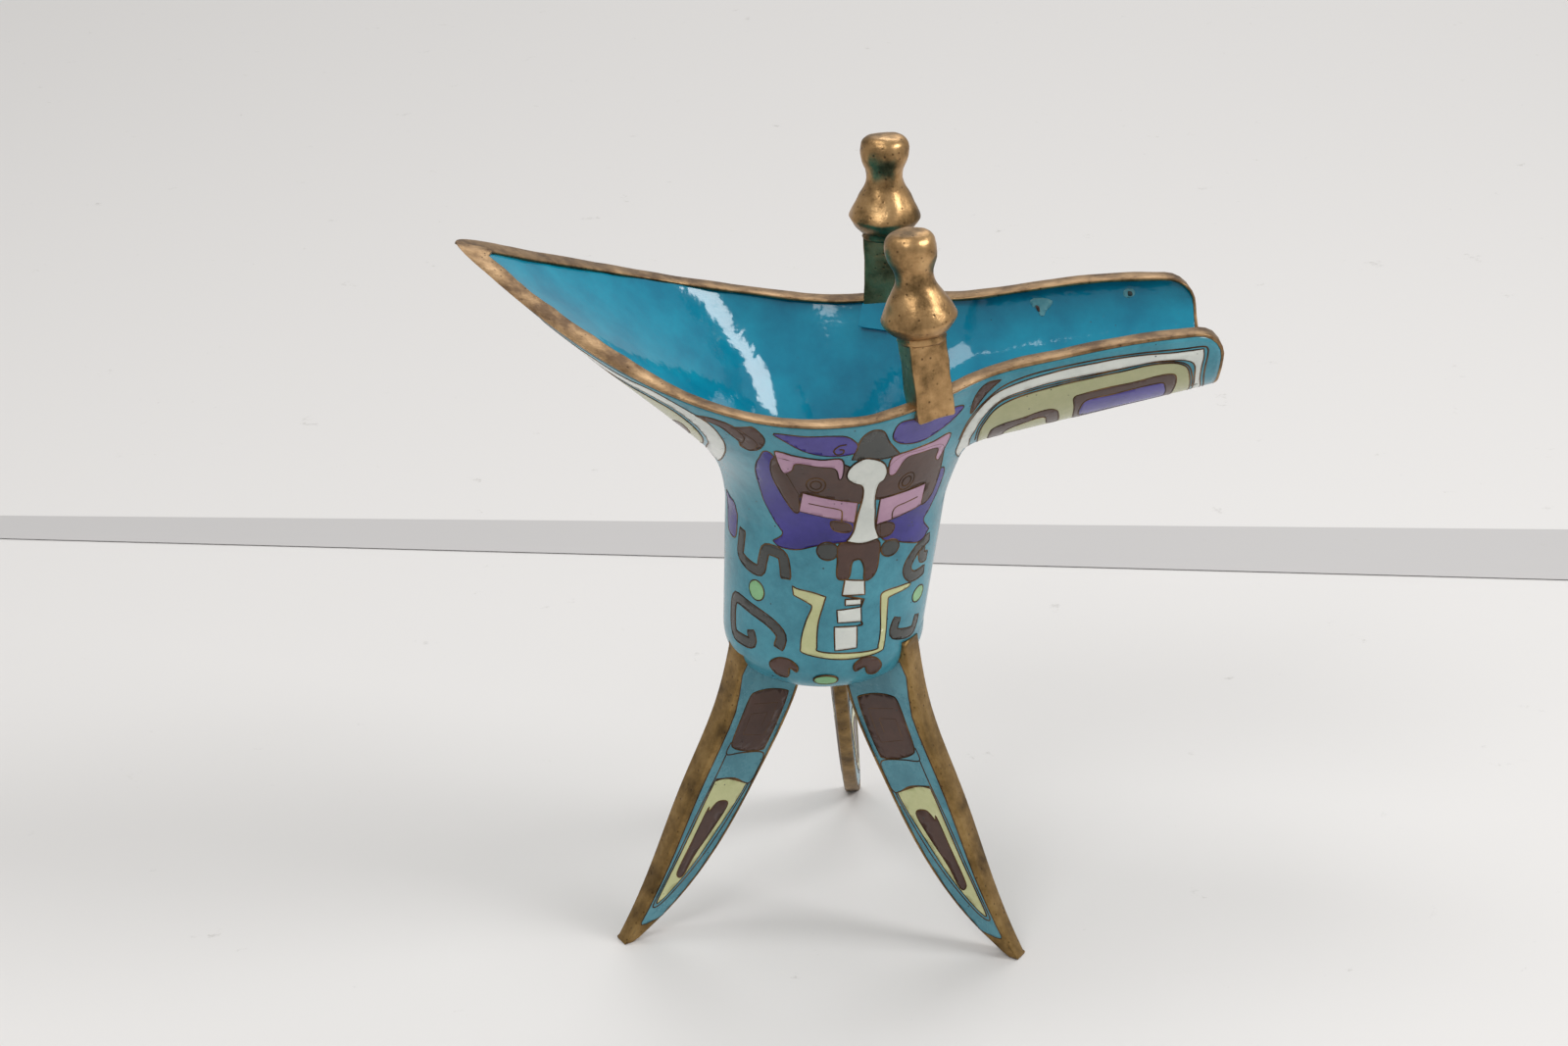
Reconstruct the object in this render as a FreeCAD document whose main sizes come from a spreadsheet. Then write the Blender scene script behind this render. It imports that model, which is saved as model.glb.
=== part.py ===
import FreeCAD, Part
import Sketcher
import math
import os

# A small cloisonne jue: a tripod wine cup with a trough spout on the +X side, a pointed tail on
# the -X side, two capped posts on the rim and three blade legs.
# Millimetres. The origin is on the floor under the middle of the cup. Z is up and -Y is the front.

doc = FreeCAD.newDocument("Jue")

# Driving sizes
sheet = doc.addObject("Spreadsheet::Sheet", "Sizes")
SIZES = [
    # beaten cup: rounded bottom, wall that leans a little, neck
    ("cup_base_height", 54.8),
    ("cup_centre_radius", 2.5),
    ("cup_dome_height", 11.2),
    ("cup_low_radius", 20.9),
    ("cup_low_shift", -0.7),
    ("neck_height", 94.0),
    ("neck_radius", 22.6),
    ("neck_shift", 2.0),
    # flared mouth
    ("flare_top_height", 160.0),
    ("mouth_height", 125.0),
    ("mouth_shift", -9.0),
    ("flare_side_reach", 53.4),
    ("flare_front_reach", 46.0),
    ("flare_side_share", 1.28),
    ("flare_front_share", 1.2),
    # tail
    ("tail_bend_height", 106.2),
    ("tail_bend_length", 5.3),
    ("tail_tip_overrun", 0.0916),
    ("tail_round_below_tip", 21.5),
    ("tail_point_above_tip", 0.5),
    ("tail_round_share", 2.1),
    ("tail_point_share", 1.66),
    # spout
    ("spout_root_x", 20.0),
    ("spout_end_x", 78.5),
    ("spout_root_half_width", 24.0),
    ("spout_end_half_width", 17.9),
    ("spout_side_bulge", 0.9),
    ("spout_keel_height", 116.0),
    ("spout_keel_share", 0.2),
    ("spout_round_share", 2.2),
    ("spout_lean_share", 1.15),
    ("spout_nose_length", 24.0),
    ("spout_corner_radius", 6.0),
    ("spout_blend", 6.0),
    # the rim line seen from the side
    ("rim_tail_x", -73.6),
    ("rim_tail_height", 151.5),
    ("rim_tail_side_x", -55.5),
    ("rim_tail_side_height", 140.9),
    ("rim_tail_root_x", -35.4),
    ("rim_tail_root_height", 131.7),
    ("rim_cup_x", -12.9),
    ("rim_cup_height", 125.3),
    ("rim_low_x", 5.0),
    ("rim_low_height", 123.6),
    ("rim_spout_root_x", 22.9),
    ("rim_spout_root_height", 126.4),
    ("rim_spout_mid_x", 40.8),
    ("rim_spout_mid_height", 129.3),
    ("rim_spout_side_x", 58.8),
    ("rim_spout_side_height", 131.7),
    ("rim_spout_end_height", 132.4),
    ("hull_allowance", 8.5),
    # layers of the wall
    ("coat_thickness", 0.7),
    ("copper_thickness", 1.2),
    ("lining_thickness", 0.5),
    ("tail_thin_start_x", -30.0),
    ("tail_thin_share", 0.3),
    ("lip_width", 4.2),
    ("lip_thickness", 0.7),
    # posts
    ("post_height", 160.0),
    ("post_width", 7.4),
    ("post_depth", 5.4),
    ("post_turn", 28.0),
    ("post_near_x", 19.0),
    ("post_far_x", 16.4),
    ("post_near_lean", 6.5),
    ("post_far_lean", 0.0),
    ("post_drop", 1.8),
    ("post_flare_below_top", 22.6),
    ("post_flare_radius", 8.0),
    ("post_ring_below_top", 17.8),
    ("post_ring_radius", 7.5),
    ("post_ring_edge", 0.6),
    ("post_bell_below_top", 12.7),
    ("post_bell_radius", 4.6),
    ("post_neck_curve", 5.2),
    ("post_knob_below_top", 7.0),
    ("post_knob_radius", 4.4),
    ("post_knob_curve", 6.0),
    ("post_brow_below_top", 1.8),
    ("post_brow_radius", 4.85),
    ("post_brow_curve", 2.4),
    ("post_crown_below_top", 0.25),
    ("post_crown_radius", 2.6),
    ("post_foot_drop", 6.0),
    ("post_foot_thickness", 1.4),
    # legs
    ("leg_left_azimuth", 200.0),
    ("leg_right_azimuth", 320.0),
    ("leg_back_azimuth", 79.0),
    ("leg_twist", 7.0),
    ("leg_sole_grind", 0.25),
    ("leg_top_height", 66.0),
    ("leg_outer_top_x", 20.6),
    ("leg_inner_top_x", 3.4),
    ("leg_knee_height", 50.0),
    ("leg_outer_knee_x", 24.7),
    ("leg_inner_knee_x", 7.2),
    ("leg_shin_height", 33.5),
    ("leg_outer_shin_x", 32.6),
    ("leg_inner_shin_x", 15.8),
    ("leg_ankle_height", 12.5),
    ("leg_outer_ankle_x", 41.9),
    ("leg_inner_ankle_x", 30.4),
    ("leg_foot_height", 4.5),
    ("leg_outer_foot_x", 46.2),
    ("leg_inner_foot_x", 39.6),
    ("leg_outer_toe_x", 49.0),
    ("leg_inner_toe_x", 46.9),
    ("leg_outer_width", 6.2),
    ("leg_inner_width", 2.8),
    ("leg_border", 1.8),
    ("leg_bed_depth", 0.7),
    # handle on the hidden side
    ("handle_azimuth", 79.0),
    ("handle_top_height", 92.0),
    ("handle_bottom_height", 70.0),
    ("handle_reach", 38.0),
    ("handle_bend_radius", 7.0),
    ("handle_width", 6.0),
    ("handle_thickness", 2.4),
]
for row, (name, value) in enumerate(SIZES, start=1):
    sheet.set("A%d" % row, name)
    sheet.set("B%d" % row, str(value))
    sheet.setAlias("B%d" % row, name)
doc.recompute()


V = {name: float(sheet.get(name)) for name, value in SIZES}


# The rim line in the plane of symmetry
rim_stations = [
    ("rim_tail_x", "rim_tail_height"),
    ("rim_tail_side_x", "rim_tail_side_height"),
    ("rim_tail_root_x", "rim_tail_root_height"),
    ("rim_cup_x", "rim_cup_height"),
    ("rim_low_x", "rim_low_height"),
    ("rim_spout_root_x", "rim_spout_root_height"),
    ("rim_spout_mid_x", "rim_spout_mid_height"),
    ("rim_spout_side_x", "rim_spout_side_height"),
    ("spout_end_x", "rim_spout_end_height"),
]
rim_x = [V[a] for a, b in rim_stations]
rim_h = [V[b] for a, b in rim_stations]
rim_gap = [b - a for a, b in zip(rim_x, rim_x[1:])]
rim_rise = [(b - a) / g for a, b, g in zip(rim_h, rim_h[1:], rim_gap)]
rim_slope = [rim_rise[0]]
for k in range(1, len(rim_gap)):
    total = rim_gap[k - 1] + rim_gap[k]
    rim_slope.append((rim_rise[k - 1] * rim_gap[k] + rim_rise[k] * rim_gap[k - 1]) / total)
rim_slope.append(rim_rise[-1])


def rim_height(x):
    if x <= rim_x[0]:
        return rim_h[0] + rim_slope[0] * (x - rim_x[0])
    if x >= rim_x[-1]:
        return rim_h[-1] + rim_slope[-1] * (x - rim_x[-1])
    k = 0
    while x > rim_x[k + 1]:
        k += 1
    t = (x - rim_x[k]) / rim_gap[k]
    near = (2 * t**3 - 3 * t**2 + 1) * rim_h[k] + (t**3 - 2 * t**2 + t) * rim_gap[k] * rim_slope[k]
    far = (3 * t**2 - 2 * t**3) * rim_h[k + 1] + (t**3 - t**2) * rim_gap[k] * rim_slope[k + 1]
    return near + far


def ease(t):
    t = min(max(t, 0.0), 1.0)
    return t * t * (3 - 2 * t)


# The beaten form, as the distance of the wall from the cup's axis in a direction at a height
neck_z = V["neck_height"]
hull_top = max(rim_h) + V["hull_allowance"]
neck_back = V["neck_radius"] - V["neck_shift"]
tail_run = V["tail_tip_overrun"] - V["rim_tail_x"] - neck_back
tail_slope = tail_run / (V["rim_tail_height"] - V["tail_bend_height"])


def tail_reach(z):
    # straight up from the neck, bending over into the long slope of the tail
    length = V["tail_bend_length"]

    def bend(h):
        return length * math.log(1 + math.exp(tail_slope * (h - V["tail_bend_height"]) / length))
    return neck_back + bend(z) - bend(neck_z)


def flare(angle, z):
    c = math.cos(angle)
    s = abs(math.sin(angle))
    up = min(max((z - neck_z) / (V["flare_top_height"] - neck_z), 0.0), 1.0)
    side = V["neck_radius"] + (V["flare_side_reach"] - V["neck_radius"]) * math.sin(
        math.pi / 2 * up ** V["flare_side_share"])
    neck_front = V["neck_radius"] + V["neck_shift"]
    front = neck_front + (V["flare_front_reach"] - neck_front) * math.sin(
        math.pi / 2 * up ** V["flare_front_share"])
    middle = V["neck_shift"] + (V["mouth_shift"] - V["neck_shift"]) * ease(
        (z - neck_z) / (V["mouth_height"] - neck_z))
    half = front - middle
    a = c * c / half**2 + s * s / side**2
    b = -2 * c * middle / half**2
    e = middle**2 / half**2 - 1
    reach = (-b + math.sqrt(b * b - 4 * a * e)) / (2 * a)
    if reach * c >= middle:
        return reach
    half = tail_reach(z) + middle
    point = (z - V["rim_tail_height"] + V["tail_round_below_tip"]) / (
        V["tail_round_below_tip"] + V["tail_point_above_tip"])
    power = V["tail_round_share"] + (V["tail_point_share"] - V["tail_round_share"]) * ease(point)
    low = 0.0
    high = 2 * (half + side)
    for step in range(40):
        reach = (low + high) / 2
        across = max((middle - reach * c) / half, 0.0)
        if across**2 + (reach * s / side) ** power > 1:
            high = reach
        else:
            low = reach
    return low


# The trough spout, as its half width at a place along it and a height
spout_root_share = 0.3
spout_side_share = 0.02


def spout_half_width(x, z):
    end = V["spout_end_x"]
    t = max((x - V["spout_root_x"]) / (end - V["spout_root_x"]), -spout_root_share)
    width = V["spout_root_half_width"] + (V["spout_end_half_width"] - V["spout_root_half_width"]) * t
    if 0 < t < 1:
        width += V["spout_side_bulge"] * 4 * t * (1 - t)
    if x > end:
        past = (x - end) / V["spout_nose_length"]
        if past >= 1:
            return -V["spout_blend"]
        width *= math.sqrt(1 - past * past)
    keel = V["spout_keel_height"] - V["spout_keel_share"] * (end - x)
    deep = (rim_height(min(x, end)) - keel) * V["spout_lean_share"]
    up = (z - keel) / deep
    if up <= 0:
        return -V["spout_blend"]
    turn = 1 - min(up, 1.0)
    power = V["spout_round_share"]
    return width * (1 - turn**power) ** (1 / power)


def spout(angle, z):
    c = math.cos(angle)
    s = abs(math.sin(angle))
    if c <= spout_side_share:
        return 0.0
    far = (V["spout_end_x"] + V["spout_nose_length"]) / c
    steps = 60
    for k in range(steps + 1):
        low = far * (1 - k / steps)
        if spout_half_width(low * c, z) >= low * s:
            high = far * (1 - max(k - 1, 0) / steps)
            for step in range(30):
                reach = (low + high) / 2
                if spout_half_width(reach * c, z) >= reach * s:
                    low = reach
                else:
                    high = reach
            return low
    return 0.0


def wall_reach(angle, z):
    if z <= neck_z:
        up = (z - V["cup_base_height"] - V["cup_dome_height"]) / (
            neck_z - V["cup_base_height"] - V["cup_dome_height"])
        radius = V["cup_low_radius"] + (V["neck_radius"] - V["cup_low_radius"]) * up
        shift = V["cup_low_shift"] + (V["neck_shift"] - V["cup_low_shift"]) * up
        return shift * math.cos(angle) + math.sqrt(radius**2 - (shift * math.sin(angle)) ** 2)
    a = flare(angle, z)
    b = spout(angle, z)
    soft = max(V["spout_blend"] - abs(a - b), 0.0) / V["spout_blend"]
    return max(a, b) + soft * soft * V["spout_blend"] / 4


# Rows of points around the form, from the flat of the bottom to above the rim
half_turns = [0, 3, 6, 9, 12, 15, 18, 22, 27, 33, 40, 50, 62, 76, 92, 108, 124, 140, 154, 167, 180]
turns = half_turns + [360 - t for t in half_turns[-2:0:-1]]
turn_shares = [t / 360.0 for t in turns] + [1.0]
dome_turns = [0, 14, 30, 46, 62, 78]
dome_share = 0.8
wall_shares = [0.0, 0.33, 0.66]
flare_rows = 22


def form_rows():
    rows = []
    for t in dome_turns:
        out = math.sin(math.radians(t)) ** dome_share
        radius = V["cup_centre_radius"] + (V["cup_low_radius"] - V["cup_centre_radius"]) * out
        z = V["cup_base_height"] + V["cup_dome_height"] * (1 - math.cos(math.radians(t)) ** dome_share)
        rows.append([FreeCAD.Vector(V["cup_low_shift"] + radius * math.cos(math.radians(a)),
                                    radius * math.sin(math.radians(a)), z) for a in turns])
    dome_top = V["cup_base_height"] + V["cup_dome_height"]
    for share in wall_shares:
        z = dome_top + (neck_z - dome_top) * share
        row = []
        for a in turns:
            reach = wall_reach(math.radians(a), z)
            row.append(FreeCAD.Vector(reach * math.cos(math.radians(a)), reach * math.sin(math.radians(a)), z))
        rows.append(row)
    columns = []
    heights = 132
    for a in half_turns:
        angle = math.radians(a)
        line = []
        for k in range(heights + 1):
            z = neck_z + (hull_top - neck_z) * k / heights
            reach = wall_reach(angle, z)
            line.append(FreeCAD.Vector(reach * math.cos(angle), reach * math.sin(angle), z))
        along = [0.0]
        for p, q in zip(line, line[1:]):
            along.append(along[-1] + (q - p).Length)
        column = []
        k = 0
        for j in range(flare_rows + 1):
            want = along[-1] * j / flare_rows
            while k < heights - 1 and along[k + 1] < want:
                k += 1
            t = (want - along[k]) / (along[k + 1] - along[k])
            column.append(line[k] + (line[k + 1] - line[k]) * t)
        columns.append(column)
    for j in range(flare_rows + 1):
        row = [column[j] for column in columns]
        row += [FreeCAD.Vector(p.x, -p.y, p.z) for p in row[-2:0:-1]]
        rows.append(row)
    return rows


rows = form_rows()
count = len(turns)
normals = []
for j, row in enumerate(rows):
    above = rows[min(j + 1, len(rows) - 1)]
    below = rows[max(j - 1, 0)]
    line = []
    for i in range(count):
        around = row[(i + 1) % count] - row[i - 1]
        upward = above[i] - below[i]
        n = around.cross(upward)
        n.normalize()
        line.append(n)
    normals.append(line)


def hull(inset):
    # the closed form, set inwards; the sheet and its enamel thin out towards the tip of the tail
    wires = []
    for j, row in enumerate(rows):
        points = []
        for i, p in enumerate(row):
            n = normals[j][i]
            past = (V["tail_thin_start_x"] - p.x) / (V["tail_thin_start_x"] - V["rim_tail_x"])
            depth = inset * (1 - (1 - V["tail_thin_share"]) * ease(past))
            q = p - n * depth
            if j == 0:
                q = FreeCAD.Vector(p.x, p.y, p.z + inset)
            if j == len(rows) - 1:
                q = p - FreeCAD.Vector(n.x, n.y, 0) * (depth / math.hypot(n.x, n.y))
            points.append(q)
        curve = Part.BSplineCurve()
        curve.interpolate(Points=points, PeriodicFlag=True, Parameters=turn_shares)
        wires.append(Part.Wire([curve.toShape()]))
    return Part.makeLoft(wires, True, False)


def rim_outline():
    # the rim seen from above, for one side, from the tail to the spout
    found = []
    for i in range(len(half_turns)):
        for j in range(len(rows) - 1):
            p = rows[j][i]
            q = rows[j + 1][i]
            a = p.z - rim_height(p.x)
            b = q.z - rim_height(q.x)
            if a < 0 <= b:
                found.append(p + (q - p) * (a / (a - b)))
                break
    return found[::-1]


def lip_opening():
    # the upright hole inside the flat lip: the rim seen from above, set in by the width of the lip
    rim = [FreeCAD.Vector(p.x, abs(p.y), 0) for p in rim_outline()]
    side = [p for p in rim if p.x < V["spout_end_x"] - V["lip_width"]]
    inner = []
    for k in range(1, len(side) - 1):
        along = side[k + 1] - side[k - 1]
        inward = FreeCAD.Vector(along.y, -along.x, 0)
        inward.normalize()
        inner.append(side[k] + inward * V["lip_width"])
    inner = [p for p in inner if p.y > V["lip_width"] / 4]
    first = inner[0]
    slope = (inner[1].y - first.y) / (inner[1].x - first.x)
    tip = FreeCAD.Vector(first.x - first.y / slope, 0, 0)
    last = inner[-1]
    slope = (last.y - inner[-2].y) / (last.x - inner[-2].x)
    past = V["spout_nose_length"]
    end = FreeCAD.Vector(last.x + past, last.y + slope * past, 0)
    half = Part.BSplineCurve()
    half.interpolate([tip] + inner + [end])
    other = Part.BSplineCurve()
    other.interpolate([FreeCAD.Vector(p.x, -p.y, 0) for p in [tip] + inner + [end]])
    closing = Part.makeLine(end, FreeCAD.Vector(end.x, -end.y, 0))
    face = Part.Face(Part.Wire([half.toShape(), closing, other.toShape()]))
    face.translate(FreeCAD.Vector(0, 0, neck_z))
    return face.extrude(FreeCAD.Vector(0, 0, hull_top - neck_z + V["hull_allowance"]))


def under_rim(drop):
    # everything under the rim line, lowered square to the line by drop
    points = []
    start = rim_x[0] - V["hull_allowance"] - V["hull_allowance"]
    stations = [start] + rim_x[:-1]
    corner = V["spout_corner_radius"]
    end = V["spout_end_x"]
    stations.append(end - corner)
    for x in stations:
        span = V["lip_thickness"]
        slope = (rim_height(x + span) - rim_height(x - span)) / (2 * span)
        long = math.hypot(1, slope)
        points.append(FreeCAD.Vector(x + slope / long * drop, 0, rim_height(x) - drop / long))
    top = points[-1]
    round_radius = corner - drop
    turn_in = FreeCAD.Vector(end - drop, 0, top.z - round_radius)
    middle = FreeCAD.Vector(end - corner + round_radius * math.sin(math.pi / 4), 0,
                            top.z - round_radius * (1 - math.cos(math.pi / 4)))
    curve = Part.BSplineCurve()
    curve.interpolate(points)
    line = curve.toShape()
    first = points[0]
    low = FreeCAD.Vector(end - drop, 0, 0)
    left = FreeCAD.Vector(first.x, 0, 0)
    arc = Part.Arc(top, middle, turn_in).toShape()
    sides = [line, arc, Part.makeLine(turn_in, low), Part.makeLine(low, left), Part.makeLine(left, first)]
    face = Part.Face(Part.Wire(sides))
    wide = V["flare_side_reach"] + V["hull_allowance"]
    face.translate(FreeCAD.Vector(0, -wide, 0))
    return face.extrude(FreeCAD.Vector(0, 2 * wide, 0))


coat = V["coat_thickness"]
copper = V["copper_thickness"]
lining = V["lining_thickness"]
wall = coat + copper + lining
outer = hull(0.0)
under_top = under_rim(0.0)
under_lip = under_rim(V["lip_thickness"])
rim_band = outer.common(under_top).cut(under_lip)
lip_hole = hull(wall).common(lip_opening())
outer_low = outer.common(under_lip)
copper_out = hull(coat).common(under_lip)
copper_in = hull(coat + copper).common(under_lip)
lining_in = hull(wall).common(under_lip)


def add(name, shape):
    part = doc.addObject("Part::Feature", name)
    part.Label = name
    part.Shape = max(shape.Solids, key=lambda solid: solid.Volume)
    nodes.append(part)
    return part


nodes = []
add("outer_enamel", outer_low.cut(copper_out))
add("body_copper", copper_out.cut(copper_in))
add("inner_enamel", copper_in.cut(lining_in))
add("rim_lip", rim_band.cut(lip_hole))
cup_mass = doc.addObject("Part::Feature", "CupMass")
cup_mass.Shape = outer
rim_mass = doc.addObject("Part::Feature", "RimMass")
rim_mass.Shape = outer.common(under_top)


# Sketch helpers: a length is a list of shares of named sizes, so that every sketch follows the sheet
def worth(terms):
    return sum(share * V[name] for share, name in terms)


def formula(terms):
    return " + ".join("%s * Sizes.%s" % (share, name) for share, name in terms)


def plane_of(body, role):
    return [feature for feature in body.Origin.OriginFeatures if feature.Role == role][0]


def draw(body, name, role, corners, offset=None):
    # a closed outline; each corner is (x, y) or (x, y, radius, side) for an arc on to the next corner
    sketch = body.newObject("Sketcher::SketchObject", name)
    sketch.AttachmentSupport = (plane_of(body, role), [""])
    sketch.MapMode = "FlatFace"
    if offset:
        sketch.setExpression("AttachmentOffset.Base.z", formula(offset))
    points = [FreeCAD.Vector(worth(corner[0]), worth(corner[1]), 0) for corner in corners]
    ends = []
    for k, corner in enumerate(corners):
        p = points[k]
        q = points[(k + 1) % len(points)]
        if len(corner) == 2:
            sketch.addGeometry(Part.LineSegment(p, q), False)
            ends.append((1, 2))
            continue
        radius = worth(corner[2])
        side = corner[3]
        chord = q - p
        across = FreeCAD.Vector(-chord.y, chord.x, 0).normalize()
        middle = p + chord * 0.5 + across * side * math.sqrt(radius**2 - (chord.Length / 2) ** 2)
        first = p if side > 0 else q
        last = q if side > 0 else p
        begin = math.atan2(first.y - middle.y, first.x - middle.x)
        finish = math.atan2(last.y - middle.y, last.x - middle.x)
        circle = Part.Circle(middle, FreeCAD.Vector(0, 0, 1), radius)
        sketch.addGeometry(Part.ArcOfCircle(circle, begin, finish), False)
        ends.append((1, 2) if side > 0 else (2, 1))
    for k, corner in enumerate(corners):
        after = (k + 1) % len(corners)
        sketch.addConstraint(Sketcher.Constraint("Coincident", k, ends[k][1], after, ends[after][0]))
        for axis, kind, terms, value in [(-2, "DistanceX", corner[0], points[k].x),
                                         (-1, "DistanceY", corner[1], points[k].y)]:
            if terms:
                index = sketch.addConstraint(Sketcher.Constraint(kind, -1, 1, k, ends[k][0], value))
                sketch.setExpression("Constraints[%d]" % index, formula(terms))
            else:
                sketch.addConstraint(Sketcher.Constraint("PointOnObject", k, ends[k][0], axis))
        if len(corner) > 2:
            index = sketch.addConstraint(Sketcher.Constraint("Radius", k, worth(corner[2])))
            sketch.setExpression("Constraints[%d]" % index, formula(corner[2]))
    return sketch


# Legs: blades of a wedge-shaped section, drawn for a leg that points along +X, from the toe up
leg_stations = [
    ("toe", [], 0.58, 1.18),
    ("foot", [(1, "leg_foot_height")], 0.65, 1.07),
    ("ankle", [(1, "leg_ankle_height")], 0.74, 1.0),
    ("shin", [(1, "leg_shin_height")], 0.88, 1.0),
    ("knee", [(1, "leg_knee_height")], 0.97, 1.0),
    ("top", [(1, "leg_top_height")], 1.0, 1.0),
]


def blade(label, stations, inward, sunk, overrun):
    # a loft through level sections: inward trims both edges, sunk trims both sides
    body = doc.addObject("PartDesign::Body", label)
    sketches = []
    for name, height, outer_share, inner_share in stations:
        outside = [(1, "leg_outer_%s_x" % name)] + [(-share, size) for share, size in inward]
        inside = [(1, "leg_inner_%s_x" % name)] + list(inward)
        wide = [(outer_share / 2, "leg_outer_width")] + [(-share, size) for share, size in sunk]
        narrow = [(inner_share / 2, "leg_inner_width")] + [(-share, size) for share, size in sunk]
        if overrun:
            wide = overrun
            narrow = overrun
        low_wide = [(-share, size) for share, size in wide]
        low_narrow = [(-share, size) for share, size in narrow]
        corners = [(outside, low_wide), (outside, wide), (inside, narrow), (inside, low_narrow)]
        sketches.append(draw(body, label + "_" + name, "XY_Plane", corners, height))
    doc.recompute()
    loft = body.newObject("PartDesign::AdditiveLoft", label + "_loft")
    loft.Profile = sketches[0]
    loft.Sections = sketches[1:]
    return body


leg_form = blade("LegForm", leg_stations, [], [], None)
leg_core = blade("LegCore", leg_stations, [], [(1, "leg_bed_depth")], None)
leg_window = blade("LegWindow", leg_stations[1:], [(1, "leg_border")], [], [(1, "leg_outer_width")])
doc.recompute()

leg_skin = doc.addObject("Part::Cut", "LegSkin")
leg_skin.Base = leg_form
leg_skin.Tool = leg_core
leg_enamel = doc.addObject("Part::Common", "LegEnamel")
leg_enamel.Base = leg_skin
leg_enamel.Tool = leg_window
leg_metal = doc.addObject("Part::Cut", "LegMetal")
leg_metal.Base = leg_form
leg_metal.Tool = leg_enamel
doc.recompute()

twist_foot = FreeCAD.Vector((V["leg_outer_toe_x"] + V["leg_inner_toe_x"]) / 2, 0, 0)
twist_top = FreeCAD.Vector((V["leg_outer_top_x"] + V["leg_inner_top_x"]) / 2, 0, V["leg_top_height"])
twist = FreeCAD.Rotation(twist_top - twist_foot, V["leg_twist"])
ground_half = 2 * V["leg_outer_toe_x"]
ground = Part.makeBox(2 * ground_half, 2 * ground_half, ground_half,
                      FreeCAD.Vector(-ground_half, -ground_half, -ground_half))
for name in ["left", "right", "back"]:
    turn = FreeCAD.Rotation(FreeCAD.Vector(0, 0, 1), V["leg_" + name + "_azimuth"])
    stance = FreeCAD.Placement(FreeCAD.Vector(0, 0, -V["leg_sole_grind"]), twist, twist_foot)
    stance = FreeCAD.Placement(FreeCAD.Vector(0, 0, 0), turn).multiply(stance)
    metal = leg_metal.Shape.copy()
    metal.Placement = stance
    add("leg_" + name, metal.cut(outer).cut(ground))
    for panel in leg_enamel.Shape.Solids:
        side = "front" if panel.CenterOfMass.y < 0 else "rear"
        enamel = panel.copy()
        enamel.Placement = stance
        add("leg_" + name + "_" + side + "_enamel", enamel.cut(outer))


# Posts: a square shaft that forks over the rim, with a turned cap
def rim_point(x):
    # the outside of the rim at a place along it, on the far side
    found = rim_outline()
    for p, q in zip(found, found[1:]):
        if p.x <= x <= q.x:
            return p + (q - p) * ((x - p.x) / (q.x - p.x))
    raise ValueError("no rim there")


def below_top(name):
    return [(1, "post_height"), (-1, "post_%s_below_top" % name)]


post_base = [(1, "rim_low_height"), (-1, "post_drop")]
shaft_corners = [([(-0.5, "post_width")], [(-0.5, "post_depth")]), ([(0.5, "post_width")], [(-0.5, "post_depth")]),
                 ([(0.5, "post_width")], [(0.5, "post_depth")]), ([(-0.5, "post_width")], [(0.5, "post_depth")])]
cap_corners = [
    ([], below_top("flare")),
    ([(0.5, "post_width")], below_top("flare"), [(1, "post_flare_radius")], 1),
    ([(1, "post_ring_radius")], below_top("ring")),
    ([(1, "post_ring_radius")], below_top("ring") + [(1, "post_ring_edge")]),
    ([(1, "post_bell_radius")], below_top("bell"), [(1, "post_neck_curve")], -1),
    ([(1, "post_knob_radius")], below_top("knob"), [(1, "post_knob_curve")], 1),
    ([(1, "post_brow_radius")], below_top("brow"), [(1, "post_brow_curve")], 1),
    ([(1, "post_crown_radius")], below_top("crown")),
    ([], [(1, "post_height")]),
]
inner_skin = hull(wall).cut(hull(wall + V["post_foot_thickness"])).common(under_lip)
for name, side in [("near", -1), ("far", 1)]:
    body = doc.addObject("PartDesign::Body", "Post" + name)
    shaft_sketch = draw(body, "Shaft" + name, "XY_Plane", shaft_corners, post_base)
    cap_sketch = draw(body, "Cap" + name, "XZ_Plane", cap_corners)
    doc.recompute()
    shaft = body.newObject("PartDesign::Pad", "ShaftPad" + name)
    shaft.Profile = shaft_sketch
    shaft.setExpression("Length", formula(below_top("ring") + [(-share, size) for share, size in post_base]))
    cap = body.newObject("PartDesign::Revolution", "CapTurn" + name)
    cap.Profile = cap_sketch
    cap.ReferenceAxis = (cap_sketch, ["V_Axis"])
    cap.Angle = 360
    seat = rim_point(V["post_" + name + "_x"])
    turn = math.radians(V["post_turn"])
    inset = V["lip_width"] / 2
    centre = FreeCAD.Vector(seat.x - inset * math.sin(turn), side * (seat.y - inset * math.cos(turn)), 0)
    upright = FreeCAD.Rotation(FreeCAD.Vector(0, 0, 1), -V["post_turn"] * side)
    tilt = FreeCAD.Rotation(FreeCAD.Vector(0, 1, 0), -V["post_" + name + "_lean"])
    lean = FreeCAD.Placement(centre, tilt, FreeCAD.Vector(0, 0, V["rim_low_height"]))
    body.Placement = lean.multiply(FreeCAD.Placement(FreeCAD.Vector(0, 0, 0), upright))
    post = doc.addObject("Part::Cut", "post_" + name)
    post.Label = "post_" + name
    post.Base = body
    post.Tool = rim_mass
    nodes.append(post)
    column = Part.makeBox(V["post_width"], 2 * V["post_depth"], V["post_foot_drop"],
                          FreeCAD.Vector(-V["post_width"] / 2, -V["post_depth"],
                                         rim_height(seat.x) - V["post_foot_drop"]))
    column.Placement = FreeCAD.Placement(centre, upright)
    add("post_" + name + "_foot", inner_skin.common(column))


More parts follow.
